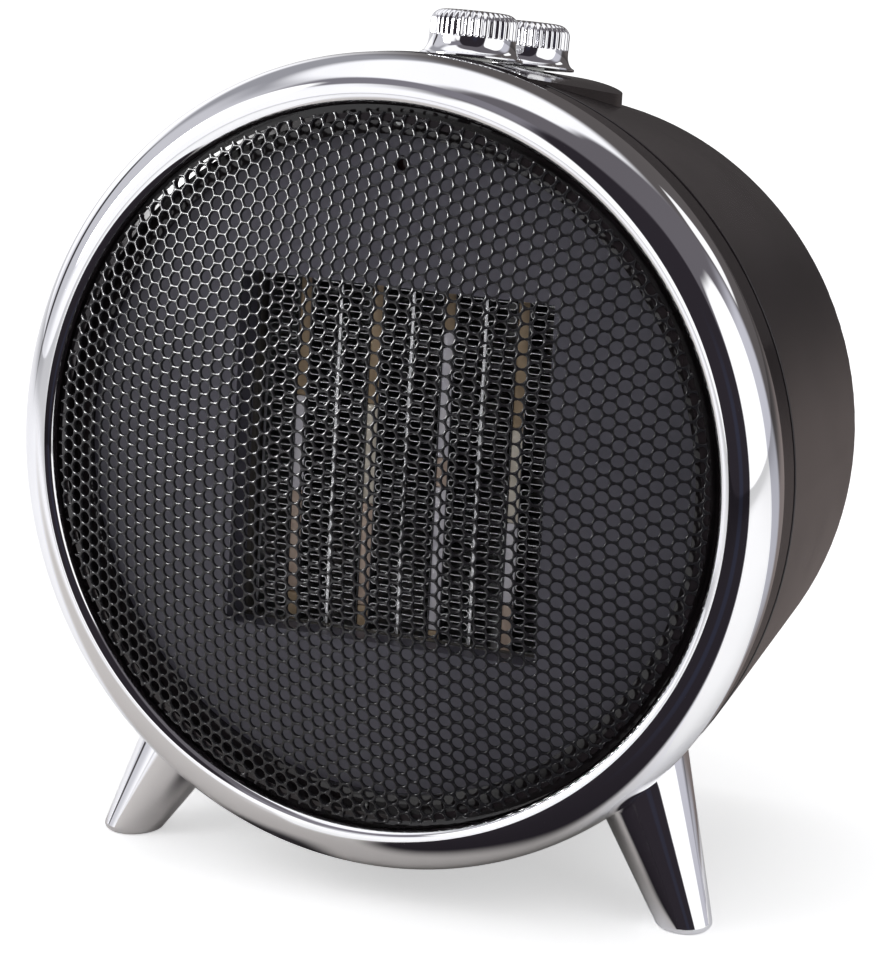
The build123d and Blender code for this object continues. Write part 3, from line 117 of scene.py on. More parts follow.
# %% Paint the studio's panels
ROOM_COLOUR = (1.10, 1.10, 1.13)
PANELS = [
    # title, centre (azimuth and elevation in degrees: 0 is in front, 90 to the right),
    # half sizes, tilt, softness of the edge, colour
    ("haze upper left", (-125, 33), (72, 14), 0, 0.35, (0.34, 0.34, 0.37)),
    ("haze left", (-80, 18), (26, 20), 0, 0.30, (0.62, 0.62, 0.66)),
    ("dull floor", (0, -78), (400, 22), 0, 0.30, (0.76, 0.74, 0.71)),
    ("dark floor at left", (-105, -79), (70, 8), 0, 0.30, (0.20, 0.17, 0.15)),
    ("floor in front", (-8, -58), (62, 24), 0, 0.25, (0.62, 0.59, 0.57)),
    ("floor at left", (-46, -32), (22, 20), -20, 0.30, (0.66, 0.63, 0.61)),
    ("shadow below", (-34, -63), (18, 7), 0, 0.40, (0.05, 0.045, 0.05)),
    ("back wall", (168, 16), (42, 36), 0, 0.20, (0.11, 0.10, 0.10)),
    ("back floor", (148, -30), (34, 20), 12, 0.25, (0.27, 0.23, 0.22)),
    ("wall above the camera", (56, 44), (84, 35), 0, 0.08, (0.14, 0.13, 0.145)),
    ("left of the wall", (-30, 38), (26, 9), 0, 0.25, (0.22, 0.21, 0.24)),
    ("dark side of the camera", (22, -2), (35, 52), 0, 0.06, (0.026, 0.022, 0.028)),
    ("blue glint", (30, -6), (6, 24), 0, 0.40, (0.032, 0.033, 0.052)),
    ("light strip", (-17, -8), (6, 33), 0, 0.12, (1.15, 1.15, 1.16)),
    ("light card", (-50, 22), (12, 14), 20, 0.12, (1.3, 1.3, 1.3)),
    ("bare lamp", (-53, 18), (8, 9), 0, 0.35, (40.0, 40.0, 40.0)),
    ("right haze", (119, -2), (19, 30), 0, 0.25, (0.58, 0.58, 0.64)),
    ("right light", (85, -3), (28, 42), 0, 0.05, (1.20, 1.20, 1.20)),
    ("back light", (150, 25), (9, 9), 0, 0.15, (1.10, 1.10, 1.10)),
    ("thin line at left", (-95, 9), (18, 3.5), -38, 0.30, (0.05, 0.045, 0.05)),
]


def socket(tree, title, kind, side):
    """Adds one named input or output to a shader group."""
    return tree.interface.new_socket(name=title, in_out=side, socket_type=kind)


def step_between(tree, value, start, end):
    """A soft step that rises from 0 at start to 1 at end."""
    node = tree.nodes.new("ShaderNodeMapRange")
    node.interpolation_type = "SMOOTHSTEP"
    node.inputs["From Min"].default_value = start
    node.inputs["From Max"].default_value = end
    tree.links.new(value, node.inputs["Value"])
    return node.outputs["Result"]


def maths(tree, operation, *values):
    """A Math node fed by sockets or plain numbers."""
    node = tree.nodes.new("ShaderNodeMath")
    node.operation = operation
    for place, value in enumerate(values):
        if isinstance(value, (int, float)):
            node.inputs[place].default_value = value
        else:
            tree.links.new(value, node.inputs[place])
    return node.outputs["Value"]


def panel_mask(tree, azimuth, elevation, centre, half, tilt, edge):
    """A soft-edged, rounded panel that may be tilted."""
    across = maths(tree, "WRAP", maths(tree, "SUBTRACT", azimuth, centre[0]), 180.0, -180.0)
    upward = maths(tree, "SUBTRACT", elevation, centre[1])
    turn_angle = math.radians(tilt)
    squares = []
    for first, second, size in ((math.cos(turn_angle), math.sin(turn_angle), half[0]),
                                (-math.sin(turn_angle), math.cos(turn_angle), half[1])):
        part = maths(tree, "MULTIPLY", upward, second / size)
        part = maths(tree, "MULTIPLY_ADD", across, first / size, part)
        squares.append(maths(tree, "POWER", maths(tree, "ABSOLUTE", part), 4.0))
    reach = maths(tree, "POWER", maths(tree, "ADD", *squares), 0.25)
    return step_between(tree, reach, 1 + edge, 1 - edge)


def mix_colours(tree, mask, below, above):
    """Lays one colour over another through a mask. Colours may be sockets or plain values."""
    node = tree.nodes.new("ShaderNodeMix")
    node.data_type = "RGBA"
    tree.links.new(mask, node.inputs["Factor"])
    for title, colour in (("A", below), ("B", above)):
        target = next(s for s in node.inputs if s.name == title and s.type == "RGBA")
        if isinstance(colour, bpy.types.NodeSocket):
            tree.links.new(colour, target)
        else:
            target.default_value = (*colour, 1)
    return next(s for s in node.outputs if s.type == "RGBA")


def build_studio():
    """The shader group that tells which panel lies in a direction."""
    tree = bpy.data.node_groups.new("studio panels", "ShaderNodeTree")
    socket(tree, "Direction", "NodeSocketVector", "INPUT")
    socket(tree, "Color", "NodeSocketColor", "OUTPUT")
    entry = tree.nodes.new("NodeGroupInput")
    normalize = tree.nodes.new("ShaderNodeVectorMath")
    normalize.operation = "NORMALIZE"
    tree.links.new(entry.outputs["Direction"], normalize.inputs[0])
    split = tree.nodes.new("ShaderNodeSeparateXYZ")
    tree.links.new(normalize.outputs[0], split.inputs[0])
    forward = maths(tree, "MULTIPLY", split.outputs["Y"], -1.0)
    azimuth = maths(tree, "DEGREES", maths(tree, "ARCTAN2", split.outputs["X"], forward))
    elevation = maths(tree, "DEGREES", maths(tree, "ARCSINE", split.outputs["Z"]))
    colour = ROOM_COLOUR
    for title, centre, half, tilt, edge, panel_colour in PANELS:
        mask = panel_mask(tree, azimuth, elevation, centre, half, tilt, edge)
        colour = mix_colours(tree, mask, colour, panel_colour)
    leave = tree.nodes.new("NodeGroupOutput")
    tree.links.new(colour, leave.inputs["Color"])
    return tree


studio = build_studio()
print("studio panels:", ", ".join(panel[0] for panel in PANELS))

# %% [markdown]
# The world is seen in three ways. The camera sees plain white. Reflections and glass see
# the studio. The light that falls on dull surfaces is an even pale grey, so that a
# colour comes out about as it is written.

# %% Set the world
SKY_LIGHT = 0.55


def place_group(tree, group):
    """Puts a shader group into a material or another group."""
    node = tree.nodes.new("ShaderNodeGroup")
    node.node_tree = group
    return node


def seen_in_gloss(tree):
    """A mask that is 1 for rays that reflections and glass send out."""
    path = tree.nodes.new("ShaderNodeLightPath")
    return maths(tree, "MAXIMUM", path.outputs["Is Glossy Ray"], path.outputs["Is Transmission Ray"])


world = bpy.data.worlds.new("studio")
bpy.context.scene.world = world
world.use_nodes = True
tree = world.node_tree
coordinates = tree.nodes.new("ShaderNodeTexCoord")
panels = place_group(tree, studio)
tree.links.new(coordinates.outputs["Generated"], panels.inputs["Direction"])
camera_path = tree.nodes.new("ShaderNodeLightPath")
sky = mix_colours(tree, seen_in_gloss(tree), (SKY_LIGHT,) * 3, panels.outputs["Color"])
sky = mix_colours(tree, camera_path.outputs["Is Camera Ray"], sky, (1.0, 1.0, 1.0))
tree.links.new(sky, tree.nodes["Background"].inputs["Color"])
bpy.context.scene.view_settings.view_transform = "Standard"

# %% [markdown]
# The heater stands on a wide pale floor, so that it has a shadow and no horizon. Three
# large soft lamps light it from both sides and from above. They are kept out of
# reflections, where the painted panels take their place.

# %% Set the floor and the lamps
FLOOR_HALF = 6.0
FLOOR_COLOUR = (0.86, 0.86, 0.87)
FLOOR_GLOW = 0.50
HEATER_MIDDLE = Vector((0, 0, 0.14))
LAMPS = [
    # title, place, size, power in watts
    ("left lamp", Vector((-1.1, -1.0, 1.2)), 1.0, 7.0),
    ("right lamp", Vector((1.4, -0.5, 1.1)), 1.0, 4.5),
    ("top lamp", Vector((-0.1, 0.3, 1.7)), 1.2, 6.0),
]


def lay_floor():
    """A wide pale floor: lit from above, a little brighter to the camera, studio-like in gloss."""
    bpy.ops.mesh.primitive_grid_add(x_subdivisions=4, y_subdivisions=4, size=2 * FLOOR_HALF)
    floor = bpy.context.object
    floor.name = "studio_floor"
    finish = bpy.data.materials.new("studio floor")
    finish.use_nodes = True
    tree = finish.node_tree
    tree.nodes.remove(tree.nodes["Principled BSDF"])
    geometry = tree.nodes.new("ShaderNodeNewGeometry")
    direction = tree.nodes.new("ShaderNodeVectorMath")
    direction.operation = "SUBTRACT"
    tree.links.new(geometry.outputs["Position"], direction.inputs[0])
    direction.inputs[1].default_value = HEATER_MIDDLE
    panels = place_group(tree, studio)
    tree.links.new(direction.outputs[0], panels.inputs["Direction"])
    colour = mix_colours(tree, seen_in_gloss(tree), FLOOR_COLOUR, panels.outputs["Color"])
    paint = tree.nodes.new("ShaderNodeBsdfDiffuse")
    tree.links.new(colour, paint.inputs["Color"])
    glow = tree.nodes.new("ShaderNodeEmission")
    path = tree.nodes.new("ShaderNodeLightPath")
    strength = maths(tree, "MULTIPLY", path.outputs["Is Camera Ray"], FLOOR_GLOW)
    tree.links.new(strength, glow.inputs["Strength"])
    both = tree.nodes.new("ShaderNodeAddShader")
    tree.links.new(paint.outputs[0], both.inputs[0])
    tree.links.new(glow.outputs[0], both.inputs[1])
    tree.links.new(both.outputs[0], tree.nodes["Material Output"].inputs["Surface"])
    floor.data.materials.append(finish)
    return floor


def hang_lamp(title, place, size, power):
    """A soft square lamp that faces the heater and isn't mirrored in it."""
    bpy.ops.object.light_add(type="AREA", location=place)
    lamp = bpy.context.object
    lamp.name = title
    lamp.rotation_euler = (HEATER_MIDDLE - place).to_track_quat("-Z", "Y").to_euler()
    lamp.data.size = size
    lamp.data.energy = power
    lamp.visible_glossy = False
    lamp.visible_camera = False


lay_floor()
for lamp_facts in LAMPS:
    hang_lamp(*lamp_facts)
print("lamps:", len(LAMPS))

# %% [markdown]
# ## Helpers for modelling
# Every new piece starts as a primitive or as one point, and is shaped with the same
# operators that a person would use in the window. Operators act on what is selected,
# so each helper first selects one piece alone.

# %% Define the modelling helpers
MERGE_GAP = 0.001 * MM
SMOOTH_ANGLE = 35


def only(piece):
    """Selects one piece alone and makes it the active one."""
    bpy.ops.object.select_all(action="DESELECT")
    piece.select_set(True)
    bpy.context.view_layer.objects.active = piece


def open_mesh(piece):
    """Goes into edit mode on one piece with everything in it selected."""
    only(piece)
    bpy.ops.object.mode_set(mode="EDIT")
    bpy.ops.mesh.select_all(action="SELECT")


def close_mesh(tidy=True):
    """Merges doubles, turns all faces outwards and leaves edit mode."""
    if tidy:
        bpy.ops.mesh.select_all(action="SELECT")
        bpy.ops.mesh.remove_doubles(threshold=MERGE_GAP)
        bpy.ops.mesh.normals_make_consistent(inside=False)
    bpy.ops.object.mode_set(mode="OBJECT")


def pick(piece, wanted):
    """Selects, in edit mode, the vertices whose place passes a test."""
    bpy.ops.mesh.select_all(action="DESELECT")
    mesh = bmesh.from_edit_mesh(piece.data)
    for vertex in mesh.verts:
        if wanted(vertex.co):
            vertex.select_set(True)
    mesh.select_flush(True)
    bmesh.update_edit_mesh(piece.data)


def finish_with(piece, kind, **settings):
    """Adds one modifier with its settings and applies it."""
    only(piece)
    bpy.ops.object.modifier_add(type=kind)
    modifier = piece.modifiers[-1]
    for title, value in settings.items():
        setattr(modifier, title, value)
    bpy.ops.object.modifier_apply(modifier=modifier.name)


def smooth(piece, degrees=SMOOTH_ANGLE):
    """Shades a piece smooth, but keeps the edges that are sharper than an angle."""
    only(piece)
    bpy.ops.object.shade_smooth_by_angle(angle=math.radians(degrees))


def settle(piece, place=drum_place):
    """Takes a piece from the frame that it was drawn in to its real place, inside its mesh."""
    piece.matrix_world = place @ piece.matrix_world
    only(piece)
    bpy.ops.object.transform_apply(location=True, rotation=True, scale=True)


def one_point(name, place):
    """Starts a piece as a single vertex."""
    bpy.ops.object.select_all(action="DESELECT")
    bpy.ops.mesh.primitive_plane_add(size=MM)
    piece = bpy.context.object
    piece.name = name
    bpy.ops.object.mode_set(mode="EDIT")
    bpy.ops.mesh.merge(type="CENTER")
    bpy.ops.transform.translate(value=place)
    return piece


def draw_line(points):
    """Extrudes the selected vertex from point to point."""
    for start, end in zip(points, points[1:]):
        step = Vector(end) - Vector(start)
        bpy.ops.mesh.extrude_region_move(TRANSFORM_OT_translate={"value": step})


def turn(name, outline, steps, axis=(0, 1, 0)):
    """Draws an outline of (radius, station) in millimetres and spins it about an axis."""
    along = Vector(axis)
    points = [Vector((radius, 0, 0)) * MM + station * MM * along for radius, station in outline]
    piece = one_point(name, points[0])
    draw_line(points)
    bpy.ops.mesh.select_all(action="SELECT")
    bpy.ops.mesh.spin(steps=steps, angle=2 * math.pi, center=(0, 0, 0), axis=axis)
    close_mesh()
    return piece


def arc(centre, radii, start, end, count):
    """Points on an ellipse about a centre, from one angle to another in degrees."""
    points = []
    for i in range(count + 1):
        angle = math.radians(start + (end - start) * i / count)
        points.append((centre[0] + radii[0] * math.cos(angle), centre[1] + radii[1] * math.sin(angle)))
    return points


def stand_for(piece, finish, body, slot, *nodes):
    """Gives a finished piece its material and its body, and hides the nodes that it replaces."""
    piece.data.materials.clear()
    piece.data.materials.append(finish)
    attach(piece, body)
    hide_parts(*nodes)
    print(piece.name, "has", len(piece.data.polygons), "faces")


# %% [markdown]
# ## Effects shared by the finishes
# Real surfaces are never quite even. Four small effects are built once as shader groups
# and set differently in each finish: smears from handling, a faint ripple in moulded
# or plated surfaces, a fine grain, and dust that settles on what faces up.

# %% Build the shared effects
def texture_space(tree):
    """The Object coordinates that every pattern is laid out in."""
    return tree.nodes.new("ShaderNodeTexCoord").outputs["Object"]


def noise(tree, vector, scale, detail=2.0, roughness=0.5):
    """A cloudy pattern. Its scale is in lumps a metre, as a socket or a number."""
    node = tree.nodes.new("ShaderNodeTexNoise")
    node.inputs["Detail"].default_value = detail
    node.inputs["Roughness"].default_value = roughness
    tree.links.new(vector, node.inputs["Vector"])
    if isinstance(scale, (int, float)):
        node.inputs["Scale"].default_value = scale
    else:
        tree.links.new(scale, node.inputs["Scale"])
    return node.outputs["Fac"]


def effect(title, inputs, output, build):
    """Makes a shader group with value inputs and one value output."""
    tree = bpy.data.node_groups.new(title, "ShaderNodeTree")
    for name, default in inputs.items():
        socket(tree, name, "NodeSocketFloat", "INPUT").default_value = default
    socket(tree, output, "NodeSocketFloat", "OUTPUT")
    entry = tree.nodes.new("NodeGroupInput")
    leave = tree.nodes.new("NodeGroupOutput")
    tree.links.new(build(tree, entry.outputs), leave.inputs[output])
    return tree


def smears(tree, given):
    """Patches where hands have left a faint film."""
    cloud = noise(tree, texture_space(tree), given["Scale"], detail=5.0, roughness=0.6)
    return maths(tree, "MULTIPLY", step_between(tree, cloud, 0.45, 0.75), given["Amount"])


def ripple(tree, given):
    """The slow unevenness of a moulded or plated surface."""
    cloud = noise(tree, texture_space(tree), given["Scale"], detail=1.0)
    return maths(tree, "MULTIPLY", cloud, given["Depth"])


def grain(tree, given):
    """Fine pits close together, as on matt plastic or fired clay."""
    cells = tree.nodes.new("ShaderNodeTexVoronoi")
    tree.links.new(texture_space(tree), cells.inputs["Vector"])
    tree.links.new(given["Scale"], cells.inputs["Scale"])
    return maths(tree, "MULTIPLY", cells.outputs["Distance"], given["Depth"])


def settled_dust(tree, given):
    """Specks that lie thickest on what faces up."""
    geometry = tree.nodes.new("ShaderNodeNewGeometry")
    split = tree.nodes.new("ShaderNodeSeparateXYZ")
    tree.links.new(geometry.outputs["Normal"], split.inputs[0])
    upward = step_between(tree, split.outputs["Z"], 0.3, 1.0)
    specks = noise(tree, texture_space(tree), given["Scale"], detail=8.0, roughness=0.75)
    cover = maths(tree, "MULTIPLY", upward, step_between(tree, specks, 0.42, 0.72))
    return maths(tree, "MULTIPLY", cover, given["Amount"])


EFFECTS = {
    "smears": effect("smears", {"Scale": 30.0, "Amount": 1.0}, "Mask", smears),
    "ripple": effect("ripple", {"Scale": 60.0, "Depth": 1.0}, "Height", ripple),
    "grain": effect("grain", {"Scale": 1500.0, "Depth": 1.0}, "Height", grain),
    "dust": effect("settled dust", {"Scale": 400.0, "Amount": 0.1}, "Mask", settled_dust),
}
print("shared effects:", ", ".join(EFFECTS))

# %% [markdown]
# ## A recipe for finishes
# All finishes follow one recipe: a base colour that drifts a little to a second one, a
# roughness that rises where there are smears, and a bump from ripple or grain.
# Plain numbers, such as how metallic a piece is, are set on the shader itself.

# %% Write the recipe
BUMP_DISTANCE = 0.1 * MM
DUST_COLOUR = (0.45, 0.44, 0.42)


def effect_output(tree, title, **values):
    """Places one shared effect with its own values."""
    node = place_group(tree, EFFECTS[title])
    for name, value in values.items():
        node.inputs[name].default_value = value
    return node.outputs[0]


def finish(title, colour, second, roughness, drift=25.0, smear=0.04, bump="ripple",
           bump_scale=60.0, bump_depth=0.3, dust=0.0, **plain):
    """Makes one finish by the recipe. Inputs named in plain are set on the shader."""
    material = bpy.data.materials.new(title)
    material.use_nodes = True
    tree = material.node_tree
    shader = tree.nodes["Principled BSDF"]
    for name, value in plain.items():
        shader.inputs[name.replace("_", " ").title()].default_value = value
    shade = noise(tree, texture_space(tree), drift, detail=4.0)
    base = mix_colours(tree, step_between(tree, shade, 0.3, 0.7), colour, second)
    if dust:
        cover = effect_output(tree, "dust", Amount=dust)
        base = mix_colours(tree, cover, base, DUST_COLOUR)
    tree.links.new(base, shader.inputs["Base Color"])
    smeared = effect_output(tree, "smears", Amount=smear)
    tree.links.new(maths(tree, "ADD", smeared, roughness), shader.inputs["Roughness"])
    lift = tree.nodes.new("ShaderNodeBump")
    lift.inputs["Distance"].default_value = BUMP_DISTANCE
    lift.inputs["Strength"].default_value = bump_depth
    height = effect_output(tree, bump, Scale=bump_scale)
    tree.links.new(height, lift.inputs["Height"])
    tree.links.new(lift.outputs["Normal"], shader.inputs["Normal"])
    return material


# %% [markdown]
# ## The finishes of this heater
# Chrome plate on the ring, legs and knobs; gloss black plastic on the drum and its
# panel; satin black paint on the sheet metal in front; and inside, the plain working
# finishes of plastic, steel, copper and ceramic.

# %% Mix the finishes
def chrome(title, **more):
    """Bright plate: nearly white metal with a faint ripple from the plastic below it."""
    settings = dict(smear=0.03, bump_scale=45.0, bump_depth=0.12, metallic=1.0)
    settings.update(more)
    return finish(title, (0.92, 0.92, 0.94), (0.88, 0.88, 0.90), 0.03, **settings)


def gloss_black(title, roughness, **more):
    """Polished black plastic with handling marks."""
    settings = dict(smear=0.05, bump_scale=80.0, bump_depth=0.10)
    settings.update(more)
    return finish(title, (0.014, 0.011, 0.012), (0.020, 0.016, 0.018), roughness, **settings)


FINISHES = {
    "chrome_bezel": chrome("chrome ring"),
    "chrome_leg": chrome("chrome leg"),
    "chrome_knob": chrome("chrome knob", bump_depth=0.05),
    "screw_bright": chrome("bright screw", bump_depth=0.05),
    "screw_zinc": finish("zinc screw", (0.62, 0.62, 0.60), (0.50, 0.51, 0.52), 0.30, metallic=1.0),
    "screw_black": finish("black screw", (0.02, 0.02, 0.022), (0.035, 0.035, 0.037), 0.35, metallic=0.4),
    "black_sheet": finish("grille paint", (0.011, 0.0105, 0.0125), (0.015, 0.0145, 0.0165), 0.16,
                          bump_scale=220.0, bump_depth=0.10),
    "baffle_sheet": finish("baffle paint", (0.086, 0.082, 0.106), (0.104, 0.099, 0.126), 0.36,
                           bump_scale=200.0, bump_depth=0.15),
    "black_gloss": gloss_black("panel plastic", 0.07, dust=0.03),
    "black_shell": gloss_black("drum plastic", 0.16, dust=0.03),
    "black_matte": finish("cover plastic", (0.018, 0.017, 0.018), (0.026, 0.024, 0.026), 0.48,
                          bump="grain", bump_scale=1400.0, bump_depth=0.35, dust=0.06),
    "lamp_holder": finish("lamp lens", (0.020, 0.008, 0.008), (0.028, 0.010, 0.010), 0.22),
    "heater_frame": finish("heater frame plastic", (0.055, 0.050, 0.046), (0.075, 0.068, 0.060), 0.55,
                           bump="grain", bump_scale=900.0),
    "cutout": finish("cutout body", (0.07, 0.05, 0.035), (0.09, 0.06, 0.045), 0.4),
    "duct": finish("duct plastic", (0.045, 0.045, 0.048), (0.060, 0.060, 0.062), 0.5,
                   bump="grain", bump_scale=900.0),
    "impeller": finish("fan plastic", (0.03, 0.03, 0.033), (0.045, 0.045, 0.047), 0.4),
    "steel_shaft": finish("ground steel", (0.58, 0.58, 0.57), (0.50, 0.50, 0.50), 0.22, metallic=1.0),
    "rotor": finish("rotor", (0.38, 0.37, 0.36), (0.30, 0.29, 0.28), 0.4, metallic=1.0),
    "lamination": finish("lamination steel", (0.32, 0.31, 0.30), (0.22, 0.21, 0.20), 0.45, metallic=0.9),
    "coil": finish("enamelled copper", (0.45, 0.16, 0.06), (0.35, 0.11, 0.04), 0.3, metallic=0.8),
    "bracket": finish("bracket steel", (0.55, 0.55, 0.54), (0.45, 0.45, 0.45), 0.35, metallic=1.0),
    "bearing": finish("bronze bearing", (0.50, 0.33, 0.16), (0.42, 0.27, 0.12), 0.35, metallic=1.0),
    "rubber_gland": finish("gland rubber", (0.022, 0.022, 0.023), (0.032, 0.032, 0.033), 0.65,
                           bump="grain", bump_scale=1200.0),
    "terminal_block": finish("terminal block", (0.62, 0.60, 0.54), (0.54, 0.52, 0.46), 0.5),
    "switch_case": finish("switch case", (0.60, 0.58, 0.53), (0.52, 0.50, 0.46), 0.45),
    "steel_bob": finish("bob steel", (0.50, 0.50, 0.50), (0.40, 0.40, 0.40), 0.3, metallic=1.0),
    "switch_body": finish("switch body", (0.10, 0.035, 0.02), (0.13, 0.05, 0.03), 0.4),
    "ceramic": finish("ceramic", (0.33, 0.26, 0.17), (0.38, 0.31, 0.21), 0.55),
    "fin_aluminium": finish("fin aluminium", (0.70, 0.70, 0.71), (0.60, 0.60, 0.62), 0.3, metallic=1.0),
    "electrode": finish("electrode plate", (0.10, 0.10, 0.11), (0.05, 0.05, 0.055), 0.6, metallic=0.5),
    "divider_aluminium": finish("divider aluminium", (0.72, 0.72, 0.73), (0.62, 0.62, 0.64), 0.32,
                                metallic=1.0),
}
print("finishes:", len(FINISHES))

# %% [markdown]
# The construction's record says which finish each piece takes. One loop hands them all
# out, so that pieces which are never remodelled, and those hidden inside, are finished too.

# %% Give every piece of the construction its finish
for subpart in frame["record"]["subparts"]:
    node = frame["nodes"][subpart["node"]]
    node.data.materials.clear()
    node.data.materials.append(FINISHES[subpart["material_slot"]])

# %% [markdown]
# ## The chrome ring
# The ring is a thin plated moulding with a rolled front: a tight curl at the lip, a wide
# bulge outside and a slight turn-in at the back. Anything turned is drawn as half a
# section and spun. A fine spin matters here, because chrome shows every facet.

# %% Spin the chrome ring
RING_STEPS = 320
LIP_RADIUS = 113.3
CREST = (117.0, -3.0)
WIDEST = (128.8, 11.4)
REAR = (127.3, 19.0)
WEB_FACE = 5.0
RING_WALL = 1.8
CURL_RADIUS = 3.7817
CURL_START = 191.9
TURN_IN_RADIUS = 20.003
TURN_IN_END = 21.3
EDGE = 0.35
EDGE_START = 20

bulge_centre = (CREST[0], WIDEST[1])
bulge = (WIDEST[0] - CREST[0], WIDEST[1] - CREST[1])
hollow = (bulge[0] - RING_WALL, bulge[1] - RING_WALL)
section = [(LIP_RADIUS, WEB_FACE)]
section += arc((CREST[0], CREST[1] + CURL_RADIUS), (CURL_RADIUS, CURL_RADIUS), CURL_START, 270, 12)
section += arc(bulge_centre, bulge, 270, 360, 28)[1:]
section += arc((WIDEST[0] - TURN_IN_RADIUS, WIDEST[1]), (TURN_IN_RADIUS,) * 2, 0, TURN_IN_END, 6)[1:]
section += arc((REAR[0] - EDGE, REAR[1] - EDGE), (EDGE, EDGE), EDGE_START, 90, 4)
section += [(REAR[0] - RING_WALL, REAR[1]), (WIDEST[0] - RING_WALL, WIDEST[1])]
section += arc(bulge_centre, hollow, 0, -90, 12)[1:]
section += [(LIP_RADIUS + RING_WALL, RING_WALL), (LIP_RADIUS + RING_WALL, WEB_FACE)]
section += section[:1]

chrome_ring = turn("front_ring", section, RING_STEPS)

# %% [markdown]
# A small screw holds the ring from below. Its head sits in a round seat sunk into the
# ring, so a cylinder is cut out there.

# %% Sink the screw's seat into the ring
SEAT_STATION = 14.2
SEAT_RADIUS = 2.5
SEAT_DEPTH_FROM_AXIS = 127.9
SHANK_HOLE_RADIUS = 1.45
BELOW_RING = -140.0
INSIDE_RING = -120.0
ROD_SIDES = 48


def cut_with(piece, tool):
    """Cuts one piece with another, which is then thrown away."""
    finish_with(piece, "BOOLEAN", operation="DIFFERENCE", object=tool, solver="EXACT")
    bpy.data.objects.remove(tool)


def upright_rod(radius, bottom, top, station):
    """A cutter that stands upright in the drum's frame, in millimetres."""
    middle = (0, station * MM, (bottom + top) / 2 * MM)
    bpy.ops.object.select_all(action="DESELECT")
    bpy.ops.mesh.primitive_cylinder_add(
        vertices=ROD_SIDES, radius=radius * MM, depth=(top - bottom) * MM, location=middle)
    return bpy.context.object


cut_with(chrome_ring, upright_rod(SEAT_RADIUS, BELOW_RING, -SEAT_DEPTH_FROM_AXIS, SEAT_STATION))
cut_with(chrome_ring, upright_rod(SHANK_HOLE_RADIUS, BELOW_RING, INSIDE_RING, SEAT_STATION))
smooth(chrome_ring)
settle(chrome_ring)
stand_for(chrome_ring, FINISHES["chrome_bezel"], "housing", "chrome_bezel", "front_bezel")

# %% [markdown]
# ## The grille
# The grille is a punched steel sheet: round holes in a honeycomb, painted black and
# pressed into a shallow dome. It is made in that order too. One cell of the honeycomb is
# drawn, with a soft edge on its hole, and arrayed into a flat sheet; a round blank is
# cut from the sheet, through whatever holes lie on the line; and the blank is domed.
# The construction has larger holes at twice the pitch, with the same share of open area.

# %% Draw one cell of the grille
PITCH = 4.5
HOLE_SIDES = 12
HOLE_RADIUS = 1.95
SOFT_EDGE = 0.12
SHEET = 0.9
BLANK_RADIUS = 111.4
DOME_RISE = 20.2
DOME_EDGE = -2.0
CORNER_RADIUS = PITCH / math.sqrt(3)


def add_loop(radius, depth, sides, first_angle=0.0):
    """A loop of edges in the sheet's plane, in millimetres."""
    bpy.ops.mesh.select_all(action="DESELECT")
    bpy.ops.mesh.primitive_circle_add(
        vertices=sides, radius=radius * MM, fill_type="NOTHING", location=(0, depth * MM, 0),
        rotation=(math.radians(90), math.radians(first_angle), 0))


def between(piece, depths):
    """Selects the cell's vertices that lie at any of these depths."""
    pick(piece, lambda place: any(abs(place.y - depth * MM) < MERGE_GAP for depth in depths))


def bridge(piece, near, far):
    """Joins the loops at two depths with faces."""
    between(piece, (near, far))
    bpy.ops.mesh.bridge_edge_loops()


def start_empty(name):
    """An object with nothing in its mesh, open in edit mode."""
    bpy.ops.object.select_all(action="DESELECT")
    bpy.ops.mesh.primitive_plane_add(size=MM)
    piece = bpy.context.object
    piece.name = name
    bpy.ops.object.mode_set(mode="EDIT")
    bpy.ops.mesh.delete(type="VERT")
    return piece


FACE_STEP = 0.01
grille = start_empty("front_mesh")
add_loop(CORNER_RADIUS, -FACE_STEP, 6, 30)
add_loop(HOLE_RADIUS + SOFT_EDGE, 0, HOLE_SIDES)
bridge(grille, -FACE_STEP, 0)
add_loop(HOLE_RADIUS, SOFT_EDGE, HOLE_SIDES)
bridge(grille, 0, SOFT_EDGE)
add_loop(HOLE_RADIUS, SHEET, HOLE_SIDES)
bridge(grille, SOFT_EDGE, SHEET)
add_loop(CORNER_RADIUS, SHEET + FACE_STEP, 6, 30)
bridge(grille, SHEET, SHEET + FACE_STEP)
close_mesh()
print("faces in one cell:", len(grille.data.polygons))

# %% [markdown]
# A honeycomb is two cells side by side, one half a step higher, repeated across and up.
# Three arrays do that, and weld each cell to its neighbours. A cell has no outer wall, so
# the sheet is open all round, and its front and back borders are bridged to close it.

# %% Repeat the cell into a flat sheet
COLUMN_STEP = PITCH * math.sqrt(3) / 2
PAIRS_ACROSS = 2 * math.ceil(BLANK_RADIUS / (2 * COLUMN_STEP)) + 1
ROWS = 2 * math.ceil(BLANK_RADIUS / PITCH) + 2
PATTERN_SHIFT = Vector((2.22, 0, -0.55))
PATTERN_TURN = 0.35


def array(piece, count, step):
    """Repeats a piece at a fixed step in millimetres, and welds the copies."""
    finish_with(piece, "ARRAY", count=count, use_relative_offset=False, use_constant_offset=True,
                constant_offset_displace=Vector(step) * MM, use_merge_vertices=True,
                merge_threshold=MERGE_GAP)


